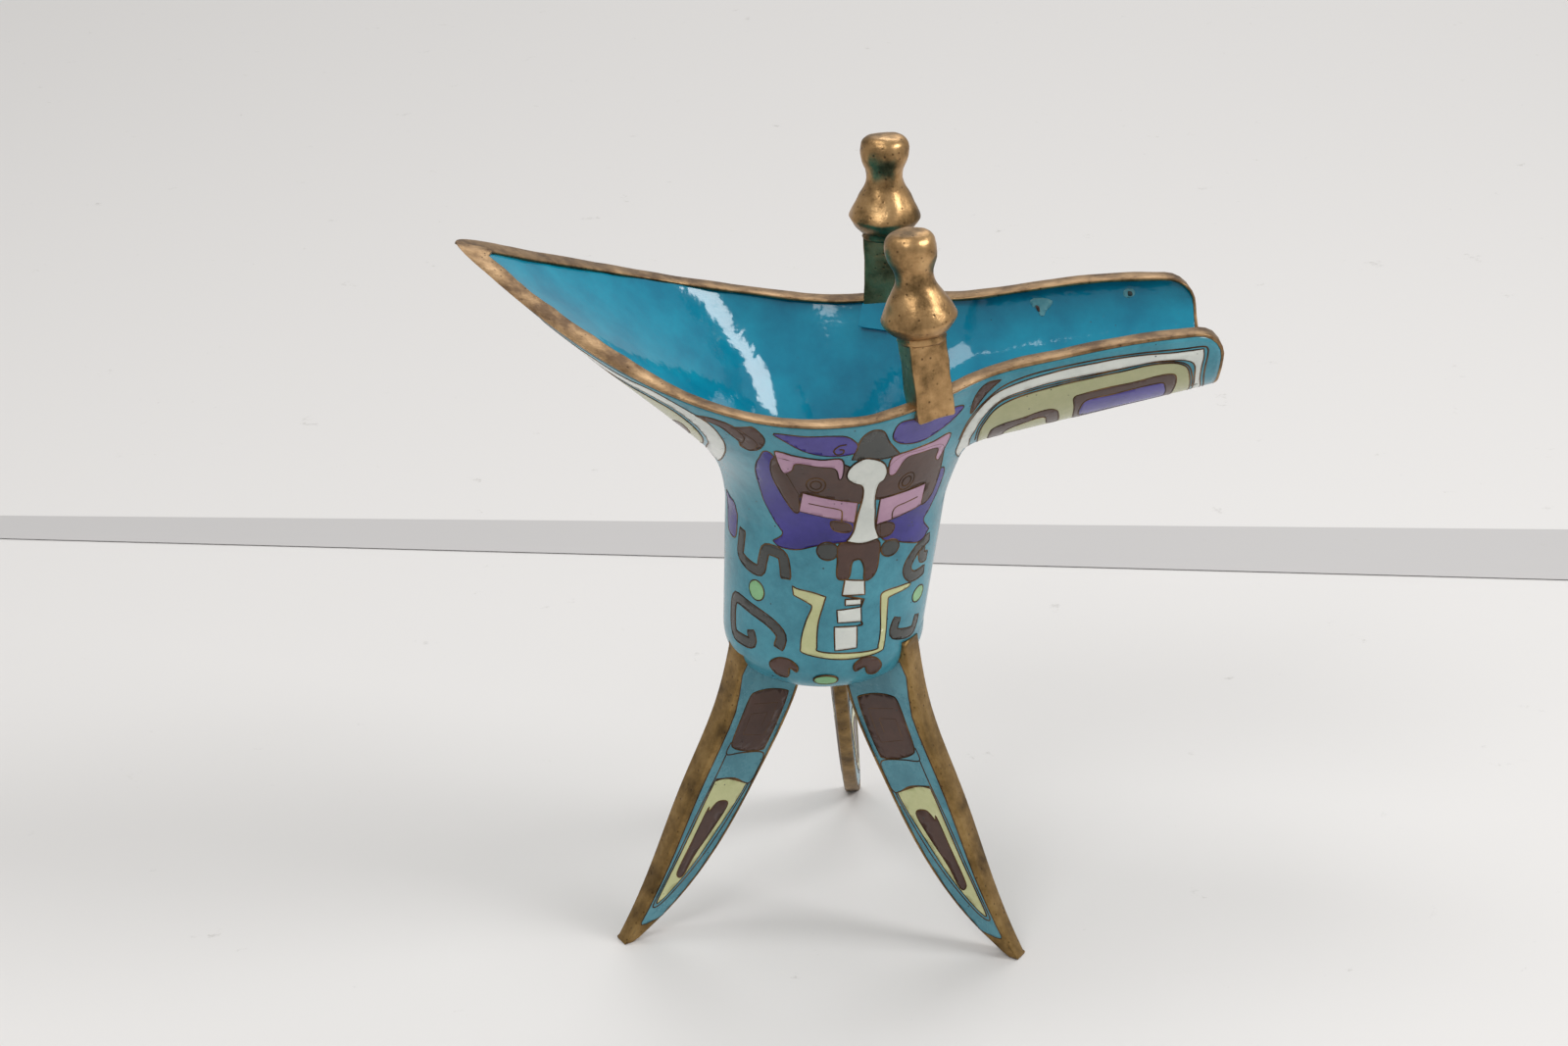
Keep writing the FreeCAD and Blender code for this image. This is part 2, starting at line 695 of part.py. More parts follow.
# Handle: a flat bronze strap on the hidden side, over the back leg
def strap_edge(inset):
    # the edge of the strap from the upper end round to the lower one, set in by inset
    thick = [(-inset, "handle_thickness")]
    reach = [(1, "handle_reach")] + thick
    bend = [(1, "handle_reach"), (-1, "handle_bend_radius")]
    top = [(1, "handle_top_height")] + thick
    low = [(1, "handle_bottom_height"), (inset, "handle_thickness")]
    radius = [(1, "handle_bend_radius")] + thick
    top_turn = [(1, "handle_top_height"), (-1, "handle_bend_radius")]
    low_turn = [(1, "handle_bottom_height"), (1, "handle_bend_radius")]
    start = [(1, "neck_radius"), (-1, "handle_bend_radius")]
    if inset:
        return [(start, low), (bend, low, radius, 1), (reach, low_turn), (reach, top_turn, radius, 1),
                (bend, top), (start, top)]
    return [(start, top), (bend, top, radius, -1), (reach, top_turn), (reach, low_turn, radius, -1),
            (bend, low), (start, low)]


body = doc.addObject("PartDesign::Body", "HandleStrap")
strap_sketch = draw(body, "StrapEdge", "XZ_Plane", strap_edge(0) + strap_edge(1))
doc.recompute()
strap = body.newObject("PartDesign::Pad", "StrapPad")
strap.Profile = strap_sketch
strap.setExpression("Length", formula([(1, "handle_width")]))
strap.SideType = "Symmetric"
body.Placement = FreeCAD.Placement(FreeCAD.Vector(0, 0, 0),
                                   FreeCAD.Rotation(FreeCAD.Vector(0, 0, 1), V["handle_azimuth"]))
handle = doc.addObject("Part::Cut", "handle")
handle.Label = "handle"
handle.Base = body
handle.Tool = cup_mass
nodes.append(handle)
doc.recompute()

# Nothing is written unless every object is sound
for item in doc.Objects:
    if "Invalid" in item.State or "Error" in item.State:
        raise ValueError(item.Name + " failed")
for part in nodes:
    if part.Shape.isNull() or not part.Shape.isValid() or len(part.Shape.Solids) != 1:
        raise ValueError(part.Label + " is not one sound solid")
os.makedirs("parts", exist_ok=True)
for part in nodes:
    part.Shape.exportStep("parts/" + part.Label + ".step")
    print(part.Label, round(part.Shape.Volume, 1), "mm3")
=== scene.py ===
# %% [markdown]
# # A cloisonne jue
# The real cup is beaten copper with wires soldered on it. The cells between the wires are filled with coloured
# glass powder and fired, then ground flush. Cast bronze legs, posts and a gilt lip are soldered on.
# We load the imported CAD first, because every size and place comes from it.
# %% Load the frame
import bmesh
import bpy
import numpy as np
from mathutils import Matrix, Vector, noise


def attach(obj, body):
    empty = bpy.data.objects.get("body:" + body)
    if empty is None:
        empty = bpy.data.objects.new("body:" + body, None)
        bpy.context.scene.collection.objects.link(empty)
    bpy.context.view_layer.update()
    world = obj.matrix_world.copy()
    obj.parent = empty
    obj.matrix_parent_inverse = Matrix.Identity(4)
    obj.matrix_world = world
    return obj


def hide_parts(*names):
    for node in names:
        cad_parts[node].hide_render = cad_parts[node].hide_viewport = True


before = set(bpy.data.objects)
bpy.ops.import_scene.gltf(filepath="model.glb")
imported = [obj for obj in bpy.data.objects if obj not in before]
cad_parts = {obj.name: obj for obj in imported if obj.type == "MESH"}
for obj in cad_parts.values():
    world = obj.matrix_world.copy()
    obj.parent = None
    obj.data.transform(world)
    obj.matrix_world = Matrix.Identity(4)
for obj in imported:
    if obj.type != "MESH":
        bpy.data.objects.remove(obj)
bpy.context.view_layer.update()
MM = 0.001
scene = bpy.context.scene
WHITE, BLACK = (1, 1, 1, 1), (0, 0, 0, 1)

# %% [markdown]
# ## Helpers for finishes
# Colours are picked as sRGB hex, but the renderer counts in linear light, so one function turns them over.
# Another small function adds one node to a material, sets it and links it. Every finish below uses these two.
# %% Colour and node helpers


def linear(code):
    parts = [int(code[k:k + 2], 16) / 255 for k in (1, 3, 5)]
    return [c / 12.92 if c <= 0.04045 else ((c + 0.055) / 1.055)**2.4 for c in parts] + [1.0]


def node(material, kind, settings=(), links=()):
    # settings are attributes, input values or a ramp's stops by name, links are (input, source node, output)
    made = material.node_tree.nodes.new("ShaderNode" + kind)
    for key, value in dict(settings).items():
        if key == "stops":
            marks = made.color_ramp.elements
            for k in (0, -1):
                marks[k].position, marks[k].color = value[k]
            for place, colour in value[1:-1]:
                marks.new(place).color = colour
        elif key in made.inputs:
            made.inputs[key].default_value = value
        else:
            setattr(made, key, value)
    for key, source, output in links:
        material.node_tree.links.new(source.outputs[output], made.inputs[key])
    return made


def fresh(name):
    material = bpy.data.materials.new(name)
    material.use_nodes = True
    material.node_tree.nodes.clear()
    return material


print("helpers ready")

# %% [markdown]
# ## Enamel
# Fired enamel is coloured glass: IOR about 1.5, glossy, with clouds of tone some 9 mm wide, a gentle orange peel
# from the firing and burst bubbles about 0.3 mm wide, 2 mm apart. Ground enamel outside is duller than the lining,
# which keeps its fire polish. The enamel in the legs' beds has weathered greyer.
# %% Enamel finishes


def enamel(name, light, dark, roughness, pits, peel):
    # fired glass enamel: clouds of two tones, orange peel and dark pits; sizes in metres
    m = fresh(name)
    place = node(m, "TexCoord")
    seat = [("Vector", place, "Object")]
    clouds = node(m, "TexNoise", {"Scale": 1 / 0.009, "Detail": 9.0, "Roughness": 0.55 + 0.2 * pits}, seat)
    tone = node(m, "ValToRGB", {"stops": [(0.32, linear(dark)), (0.68, linear(light))]},
                [(0, clouds, "Fac")])
    bubbles = node(m, "TexVoronoi", {"Scale": 1 / 0.0022}, seat)
    spot = node(m, "ValToRGB", {"stops": [(0.03 + 0.02 * pits, WHITE), (0.06 + 0.05 * pits, BLACK)]},
                [(0, bubbles, "Distance")])
    rare = node(m, "TexNoise", {"Scale": 1 / 0.006}, seat)
    some = node(m, "ValToRGB", {"stops": [(0.62 - 0.12 * pits, BLACK), (0.68 - 0.12 * pits, WHITE)]},
                [(0, rare, "Fac")])
    pit = node(m, "Math", {"operation": "MULTIPLY"}, [(0, spot, "Color"), (1, some, "Color")])
    mixed = node(m, "Mix", {"data_type": "RGBA"}, [(0, pit, 0), (6, tone, "Color")])
    mixed.inputs[7].default_value = linear("#2f3a38")
    wave = node(m, "TexNoise", {"Scale": 1 / 0.0035, "Detail": 2.0}, seat)
    swell = node(m, "Bump", {"Strength": peel, "Distance": 0.00025}, [("Height", wave, "Fac")])
    dent = node(m, "Bump", {"Strength": 0.5, "Distance": 0.0001, "invert": True},
                [("Height", pit, 0), ("Normal", swell, "Normal")])
    rough = node(m, "MapRange", {"To Min": roughness * 0.8, "To Max": roughness * 1.3},
                 [("Value", clouds, "Fac")])
    shader = node(m, "BsdfPrincipled", {"IOR": 1.5}, [
        ("Base Color", mixed, 2), ("Roughness", rough, "Result"), ("Normal", dent, "Normal")])
    node(m, "OutputMaterial", links=[("Surface", shader, "BSDF")])
    return m


TURQUOISE = enamel("ground turquoise enamel", "#4a9bad", "#2f7789", 0.22, 1.0, 0.3)
BED = enamel("grey turquoise enamel", "#5d9aa8", "#3f7888", 0.26, 1.0, 0.35)
# the lining's own deep turquoise, made a little darker all over as painted shade for the shaded inside of the cup
LINING = enamel("fire polished turquoise enamel with painted shade", "#1190ac", "#0a7896", 0.07, 0.15, 0.35)
CELLS = {}
for colour, name, *look in (
        ("cobalt", "cobalt violet", "#3b338f", "#2a2470", 0.22, 0.8, 0.25),
        ("violet", "light violet", "#50469a", "#3d357f", 0.22, 0.8, 0.25),
        ("brown", "dark brown", "#54392f", "#3f2b25", 0.28, 1.0, 0.35),
        ("grey", "dark grey", "#474744", "#363a38", 0.25, 0.8, 0.3),
        ("white", "white", "#e2e5de", "#cdd2cc", 0.2, 0.9, 0.25),
        ("pink", "mauve pink", "#bd97ae", "#a9829c", 0.22, 0.8, 0.25),
        ("yellow", "pale yellow", "#d2d2a0", "#bcc08b", 0.22, 1.0, 0.25),
        ("olive", "pale olive", "#b5b48a", "#a3a67c", 0.22, 1.0, 0.25),
        ("chip", "chipped turquoise", "#7fb3b6", "#3f8794", 0.4, 1.0, 0.8),
        ("green", "pale green", "#8fc38d", "#79ad7b", 0.22, 0.8, 0.25)):
    CELLS[colour] = enamel(name + " enamel", *look)
print(len(CELLS), "cell colours")

# %% [markdown]
# ## Bronze
# The gilt lip is worn: warm brown-yellow metal, with darker patina in patches some 7 mm wide and pits 1.6 mm
# apart. The cast posts are paler and more pitted, and the leg blades have an olive patina. All are metals, so
# metallic is 1 and the colour is in the base colour. Wire is darker and copper redder, by the same recipe.
# %% Bronze finishes


def bronze(name, bright, dull, dark, roughness, patina, pitting):
    # cast and gilt bronze: patches of patina, casting pits, hand-worn gloss
    m = fresh(name)
    place = node(m, "TexCoord")
    seat = [("Vector", place, "Object")]
    patches = node(m, "TexNoise", {"Scale": 1 / 0.007, "Detail": 6.0, "Roughness": 0.65}, seat)
    grain = node(m, "TexNoise", {"Scale": 1 / 0.0009, "Detail": 3.0}, seat)
    stops = [(0.5 - patina, linear(dark)), (0.52, linear(dull)), (0.72, linear(bright))]
    tone = node(m, "ValToRGB", {"stops": stops}, [(0, patches, "Fac")])
    holes = node(m, "TexVoronoi", {"Scale": 1 / 0.0016}, seat)
    pit = node(m, "ValToRGB", {"stops": [(0.0, WHITE), (0.12 + 0.1 * pitting, BLACK)]},
               [(0, holes, "Distance")])
    mixed = node(m, "Mix", {"data_type": "RGBA"}, [(0, pit, "Color"), (6, tone, "Color")])
    mixed.inputs[7].default_value = linear("#3b2a1a")
    rough = node(m, "MapRange", {"To Min": roughness + 0.14, "To Max": roughness - 0.1},
                 [("Value", patches, "Fac")])
    fine = node(m, "Bump", {"Strength": 0.35, "Distance": 0.00012}, [("Height", grain, "Fac")])
    lumps = node(m, "Bump", {"Strength": 0.5, "Distance": 0.0005},
                 [("Height", patches, "Fac"), ("Normal", fine, "Normal")])
    dent = node(m, "Bump", {"Strength": 0.4 * pitting, "Distance": 0.0002, "invert": True},
                [("Height", pit, "Color"), ("Normal", lumps, "Normal")])
    shader = node(m, "BsdfPrincipled", {"Metallic": 1.0}, [
        ("Base Color", mixed, 2), ("Roughness", rough, "Result"), ("Normal", dent, "Normal")])
    node(m, "OutputMaterial", links=[("Surface", shader, "BSDF")])
    return m


GILT = bronze("worn gilt bronze", "#bd9c75", "#9c7e5b", "#6c543c", 0.4, 0.12, 0.6)
CAST = bronze("cast bronze with patina", "#d2ac7b", "#b08c60", "#6f5839", 0.36, 0.14, 0.9)
BLADE = bronze("olive patinated bronze", "#b0915f", "#8d7146", "#5d4a2f", 0.42, 0.18, 0.8)
WIRE = bronze("dark bronze wire", "#8a6a45", "#5e4630", "#35281e", 0.45, 0.14, 0.0)
COPPER = bronze("beaten copper sheet", "#b8744f", "#9c5f40", "#5f3a28", 0.4, 0.12, 0.3)
print("bronze finishes", GILT.name, CAST.name, WIRE.name)

# %% [markdown]
# ## The form of the cup
# The CAD states the beaten form as the distance of the wall from the cup's axis, in each direction and at each
# height. The same rule is written here with arrays, in millimetres, so that the skins are smooth where the light
# glances over them. Above the neck the mouth flares, the back runs out to a pointed tail and the front to a spout.
# %% The rim line and the wall
RIM_LINE = np.array([(-73.6, 151.5), (-55.5, 140.9), (-35.4, 131.7), (-12.9, 125.3), (5.0, 123.6), (22.9, 126.4),
                     (40.8, 129.3), (58.8, 131.7), (78.5, 132.4)])
SPOUT_END, CORNER, HULL_TOP, NECK = 78.5, 6.0, 160.0, 94.0
# the rounded bottom: its lowest point, rise, flat middle, width round that and middle
BASE, DOME_TOP, DOME_RISE, DOME_FLAT, DOME_WIDE, DOME_X = 54.8, 66.0, 11.2, 2.5, 18.4, -0.7
LOW_RADIUS, CUP_WIDENS, CUP_LEANS = 20.9, 1.7, 2.7  # the barrel of the cup, up to the neck
SIDE_HALF, SIDE_GROWS, FRONT_HALF, FRONT_GROWS = 22.6, 30.8, 24.6, 21.4  # the flare of the mouth
NECK_X, MOUTH_BACK = 2.0, 11.0  # the middle of the neck, and how far the mouth's middle lies behind it
TAIL_HALF, TAIL_SLOPE, TAIL_BEND, TAIL_SOFT = 20.6, 1.172, 106.2, 5.3  # the tail leans out above its bend
SPOUT_START, SPOUT_HALF, SPOUT_NARROWS, SPOUT_BULGE, SPOUT_PAST = 20.0, 24.0, 6.1, 3.6, 24.0
KEEL_HEIGHT, KEEL_SLOPE = 116.0, 0.2  # the underside of the spout at its end, and its fall towards the cup


def ease(t):
    t = np.clip(t, 0, 1)
    return t * t * (3 - 2 * t)


def unit(v):
    return v / np.maximum(np.linalg.norm(v, axis=-1, keepdims=True), 1e-9)


def halve(low, high, steps, is_low):
    # close in from both ends on the value where a test turns false
    for step in range(steps):
        guess = (low + high) / 2
        keep = is_low(guess)
        low, high = np.where(keep, guess, low), np.where(keep, high, guess)
    return low, high


def rim_height(x):
    px, pz = RIM_LINE.T
    gap, rise = np.diff(px), np.diff(pz) / np.diff(px)
    mid = (rise[:-1] * gap[1:] + rise[1:] * gap[:-1]) / (gap[:-1] + gap[1:])
    slope = np.concatenate([rise[:1], mid, rise[-1:]])
    k = np.clip(np.searchsorted(px, x) - 1, 0, len(gap) - 1)
    t = np.clip((x - px[k]) / gap[k], 0, 1)
    inside = ((2 * t**3 - 3 * t**2 + 1) * pz[k] + (t**3 - 2 * t**2 + t) * gap[k] * slope[k]
              + (3 * t**2 - 2 * t**3) * pz[k + 1] + (t**3 - t**2) * gap[k] * slope[k + 1])
    return inside + slope[0] * np.minimum(x - px[0], 0) + slope[-1] * np.maximum(x - px[-1], 0)


def flare(angle, z):
    c, s = np.cos(angle), np.abs(np.sin(angle))
    up = np.clip((z - NECK) / (HULL_TOP - NECK), 0, 1)
    side = SIDE_HALF + SIDE_GROWS * np.sin(np.pi / 2 * up**1.28)
    front = FRONT_HALF + FRONT_GROWS * np.sin(np.pi / 2 * up**1.2)
    middle = NECK_X - MOUTH_BACK * ease((z - NECK) / 31)
    half = front - middle
    a, b, e = c**2 / half**2 + s**2 / side**2, -2 * c * middle / half**2, middle**2 / half**2 - 1
    round_mouth = (-b + np.sqrt(b * b - 4 * a * e)) / (2 * a)

    def bend(h):
        return TAIL_SOFT * np.log(1 + np.exp(TAIL_SLOPE * (h - TAIL_BEND) / TAIL_SOFT))
    half = TAIL_HALF + bend(z) - bend(NECK) + middle
    power = 2.1 - 0.44 * ease((z - 130) / 22)
    tail, _ = halve(np.zeros_like(round_mouth), 2 * (half + side), 40, lambda r: (
        np.maximum((middle - r * c) / half, 0)**2 + (r * s / side)**power <= 1))
    return np.where(round_mouth * c >= middle, round_mouth, tail)


def trough_half(x, z):
    t = np.maximum((x - SPOUT_START) / (SPOUT_END - SPOUT_START), -0.3)
    width = SPOUT_HALF - SPOUT_NARROWS * t + np.where((t > 0) & (t < 1), SPOUT_BULGE * t * (1 - t), 0)
    past = np.clip((x - SPOUT_END) / SPOUT_PAST, 0, 1)
    width = width * np.sqrt(1 - past**2)
    keel = KEEL_HEIGHT - KEEL_SLOPE * (SPOUT_END - x)
    up = (z - keel) / ((rim_height(np.minimum(x, SPOUT_END)) - keel) * 1.15)
    inside = width * (1 - (1 - np.clip(up, 0, 1))**2.2)**(1 / 2.2)
    return np.where((up <= 0) | (past >= 1), -6.0, inside)


def spout(angle, z):
    c, s = np.cos(angle), np.abs(np.sin(angle))
    far = (SPOUT_END + SPOUT_PAST) / np.maximum(c, 0.02)
    found, low, high = np.zeros(far.shape, bool), np.zeros_like(far), np.zeros_like(far)
    for k in range(61):
        guess = far * (1 - k / 60)
        hit = (trough_half(guess * c, z) >= guess * s) & ~found
        low, high = np.where(hit, guess, low), np.where(hit, far * (1 - max(k - 1, 0) / 60), high)
        found |= hit
    low, _ = halve(low, high, 24, lambda r: trough_half(r * c, z) >= r * s)
    return np.where(found & (c > 0.02), low, 0)


def dome_height(out):
    # height of the rounded bottom at a distance from its middle
    turn = np.clip((out - DOME_FLAT) / DOME_WIDE, 0, 1)**1.25
    return BASE + DOME_RISE * (1 - (1 - turn**2)**0.4)


def reach(angle, z):
    up = (z - DOME_TOP) / (NECK - DOME_TOP)
    radius, shift = LOW_RADIUS + CUP_WIDENS * up, DOME_X + CUP_LEANS * up
    low = shift * np.cos(angle) + np.sqrt(np.maximum(radius**2 - (shift * np.sin(angle))**2, 1))
    high = np.maximum(z, NECK)
    a, b = flare(angle, high), spout(angle, high)
    soft = np.maximum(6 - np.abs(a - b), 0) / 6  # a fillet where the spout leaves the mouth
    return np.where(z <= NECK, low, np.maximum(a, b) + soft**2 * 1.5)


print("reach at the neck, front:", round(float(reach(np.array([-np.pi / 2]), np.array([94.0]))[0]), 2), "mm")

# %% [markdown]
# ## Skins
# Each layer of the wall is a skin: fine columns of points from the middle of the bottom to the rim. A skin is
# set inwards along the surface, cut off at the rim line and shared out in even rows. A grid from one operator
# is then laid on those points, which is quicker and smoother than pushing a sphere about.
# %% Columns, cut at the rim
COAT, COPPER_IN, WALL = 0.7, 1.9, 2.4  # depths of the coat's back, the copper's inside and the lining's face
LIP_THICK, COPPER_DROP, LINING_DROP = 0.7, 1.2, 0.3  # how far the edges end below the rim line
# columns stand closest, every half degree, where the spout leaves the cup
turns = np.concatenate([np.arange(0, 8, 1.), np.arange(8, 17, .5), np.arange(17, 40, 1.), np.arange(40, 160, 2.5),
                        np.arange(160, 180.1, 1.)])
TURNS = np.radians(np.unique(np.round(np.concatenate([turns, 360 - turns]), 6)))


def columns():
    turn = np.radians(np.linspace(0, 88, 30))[:, None]
    radius = DOME_FLAT + DOME_WIDE * np.sin(turn)**0.8
    dome = np.stack([DOME_X + radius * np.cos(TURNS), radius * np.sin(TURNS),
                     BASE + DOME_RISE * (1 - np.cos(turn)**0.8) + 0 * TURNS], -1)
    z = np.concatenate([np.linspace(DOME_TOP, NECK - 0.1, 30), np.linspace(NECK, HULL_TOP, 260)])[:, None]
    r = reach(TURNS[None, :] + 0 * z, z + 0 * TURNS)
    wall = np.stack([r * np.cos(TURNS), r * np.sin(TURNS), z + 0 * r], -1)
    return np.concatenate([dome, wall])


FORM = columns()
across = np.roll(FORM[:, :-1], -1, axis=1) - np.roll(FORM[:, :-1], 1, axis=1)
across = np.concatenate([across, across[:, :1]], axis=1)
OUTWARD = unit(np.cross(across, np.gradient(FORM, axis=0)))


TURN_X = SPOUT_END - CORNER  # the middle of the rim's round corner at the end of the spout
TURN_Z = float(rim_height(np.array(TURN_X))) - CORNER


def rim_slope(x):
    return rim_height(x + .5) - rim_height(x - .5)


def over_rim(p, drop):
    # how far points stand above the rim line lowered by drop, or past the end of the spout
    x, z = p[..., 0], p[..., 2]
    over = z - rim_height(x) + drop * np.sqrt(1 + rim_slope(x)**2)
    end = np.where(z > TURN_Z, np.hypot(x - TURN_X, z - TURN_Z) - CORNER + drop, x - SPOUT_END + drop)
    return np.where(x > TURN_X, end, over)


def skin(depth, drop, rows):
    # one layer's face: set in by depth, less in the thin tail, and cut off below the rim line
    thin = depth * (1 - 0.7 * ease((-30 - FORM[..., 0]) / 43.6))
    q = FORM - OUTWARD * thin[..., None]
    over = over_rim(q, drop)
    over[:60] = -1  # the bottom and the barrel are never cut
    lines, facing = [], []
    for i in range(q.shape[1]):
        k = int(np.argmax(over[:, i] >= 0))
        t = over[k - 1, i] / (over[k - 1, i] - over[k, i])
        line = np.concatenate([q[:k, i], [q[k - 1, i] + (q[k, i] - q[k - 1, i]) * t]])
        line = np.concatenate([[[DOME_X, 0, BASE + depth]], line])
        n = np.concatenate([[[0, 0, -1]], OUTWARD[:k + 1, i]])
        along = np.concatenate([[0], np.cumsum(np.linalg.norm(np.diff(line, axis=0), axis=1))])
        even = np.linspace(0, along[-1], rows)
        lines.append(np.stack([np.interp(even, along, line[:, j]) for j in range(3)], -1))
        facing.append(np.stack([np.interp(even, along, n[:, j]) for j in range(3)], -1))
    return np.array(lines), np.array(facing)


print(len(TURNS), "columns")

# %% Make a piece from a grid


def sheet_mesh(points):
    # a grid from one operator, laid on an array of points (columns x rows x 3) in millimetres
    bm = bmesh.new()
    bmesh.ops.create_grid(bm, x_segments=points.shape[1] - 1, y_segments=points.shape[0] - 1, size=1)
    bm.verts.ensure_lookup_table()
    for vert, p in zip(bm.verts, points.reshape(-1, 3)):
        vert.co = Vector(p) * MM
    bmesh.ops.remove_doubles(bm, verts=bm.verts, dist=2e-6)
    return bm


def put(name, data):
    made = bpy.data.objects.new(name, data)
    scene.collection.objects.link(made)
    return made


def mesh_of(name, bm):
    mesh = bpy.data.meshes.new(name)
    bm.to_mesh(mesh)
    bm.free()
    return mesh


def folds(bm, angle):
    # the edges where the surface turns by more than angle
    return [e for e in bm.edges if len(e.link_faces) == 2 and e.calc_face_angle(0) > angle]


def bevel(bm, edges, offset, segments=3):
    return bmesh.ops.bevel(bm, geom=edges, offset=offset, segments=segments, profile=0.5, affect="EDGES",
                           material=-1)


def piece(name, bm, material, slot, *nodes, turn_out=True):
    # a mesh becomes a piece on the root body; nodes are the CAD nodes that it replaces
    if turn_out:
        bmesh.ops.recalc_face_normals(bm, faces=bm.faces)
    mesh = mesh_of(name, bm)
    made = put(name, mesh)
    mesh.materials.append(material)
    mesh.polygons.foreach_set("use_smooth", [True] * len(mesh.polygons))
    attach(made, "root")
    if nodes:
        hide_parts(*nodes)
    print(name, len(mesh.polygons), "faces")
    return made


def dress(name, material):
    # a CAD node that is kept as it is gets its finish
    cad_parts[name].data.materials.clear()
    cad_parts[name].data.materials.append(material)


def layer(name, depths, rows, drop, *rest):
    # a layer of the wall: its two skins meet in one edge at the rim
    outer, inner = [skin(depth, drop, count)[0] for depth, count in zip(depths, rows)]
    piece(name, sheet_mesh(np.concatenate([outer, inner[:, ::-1]], axis=1)), *rest)
    return outer


outside = layer("cup_ground_enamel", (0.0, COAT), (120, 50), LIP_THICK, TURQUOISE, "cloisonne_enamel",
                "outer_enamel")
layer("cup_lining", (COPPER_IN, WALL), (50, 120), LINING_DROP, LINING, "interior_enamel", "inner_enamel")
layer("cup_copper", (COAT, COPPER_IN), (60, 60), COPPER_DROP, COPPER, "copper_sheet", "body_copper")

# %% [markdown]
# ## The gilt lip
# A flat strip of gilt bronze is bent by hand along the whole mouth, about 4 mm wide and 0.7 mm thick, and turns
# down round the end of the spout. Both sides meet in a solid point on the tail. A four-sided tube follows the rim,
# its long edges are bevelled, and slow noise makes its edge a little wavy, as hammered strip is.
# %% Lip sections
rim, out = skin(0.0, 0.0, 120)
rim, out = rim[:, -1], out[:, -1]
under = outside[:, -1]
slope = rim_slope(rim[:, 0])
up = np.stack([-slope, 0 * slope, 1 + 0 * slope], -1)
past = rim[:, 0] > TURN_X
up[past] = np.stack([rim[past, 0] - TURN_X, 0 * rim[past, 0], np.maximum(rim[past, 2] - TURN_Z, 0)], -1)
up = unit(up)
inward = unit((out * up).sum(1, keepdims=True) * up - out)
width = 2.5 + 1.7 * ease(up[:, 2] / 0.7) + 0.5 * ease((-30 - rim[:, 0]) / 20)
wander = np.array([noise.noise(Vector(p) / 7) for p in rim])
jitter = np.array([noise.noise(Vector(p) / 3 + Vector((9, 4, 2))) for p in rim])
width = width * (1 + 0.07 * wander + 0.03 * jitter)
reach_in = np.abs(rim[:, 1]) / np.maximum(np.abs(inward[:, 1]), 1e-3)
width = np.where(past, width, np.minimum(np.maximum(width, reach_in * ease((-69.3 - rim[:, 0]) / 2)), reach_in))
raised = (np.where(rim[:, 1] < 0, 0.32, 0.06) * ease((-22 - rim[:, 0]) / 25) * width)[:, None] * up
lift = (0.14 * wander + 0.05 * jitter)[:, None] * up
tube = np.stack([rim + lift, rim + lift + inward * width[:, None] + raised,
                 rim + inward * width[:, None] + raised - up * LIP_THICK, under, rim + lift], 1)
bm = sheet_mesh(tube)
bevel(bm, folds(bm, 0.7), 0.22 * MM, 2)
piece("gilt_lip", bm, GILT, "gilt_bronze", "rim_lip")

# %% [markdown]
# ## Posts
# Each post is a flat cast shaft that forks over the lip, with a turned cap like a small capped column. The cap is
# a profile of radius and height spun round its axis. The shaft is a bevelled cube that the rim runs through, so
# the slot of the fork isn't cut. Noise moves the points a little, since a casting is never true.
# %% Cap profile and shaft


def arc(p, q, radius, side, steps=7):
    # points on an arc from p to q that bulges to one side
    p, q = np.array(p, float), np.array(q, float)
    chord = q - p
    normal = np.array([-chord[1], chord[0]]) / np.linalg.norm(chord)
    middle = (p + q) / 2 + normal * side * np.sqrt(radius**2 - (np.linalg.norm(chord) / 2)**2)
    a, b = [np.arctan2(*(r - middle)[::-1]) for r in (p, q)]
    b += 2 * np.pi * round((a - b) / (2 * np.pi))
    return [tuple(middle + radius * np.array([np.cos(t), np.sin(t)])) for t in np.linspace(a, b, steps)]


CAP = ([(0, 137.6), (4.3, 137.6), (4.8, 138.3), (4.4, 139.0)] + arc((4.4, 139.0), (7.5, 142.2), 9, 1)
       + [(7.55, 142.5)] + arc((7.5, 142.8), (4.8, 148.0), 30, 1)
       + arc((4.8, 148.0), (4.45, 153.7), 5.2, -1) + arc((4.45, 153.7), (4.85, 158.2), 6, 1)
       + arc((4.85, 158.2), (2.6, 159.75), 2.4, 1) + [(0, 160.0)])
SHAFT, SHAFT_MIDDLE, POST_FOOT = (8.0, 5.6, 20.0), 131.8, 123.6
POST_TURN, POST_INSET = np.radians(22), 2.1  # the shafts stand turned, and in from the rim


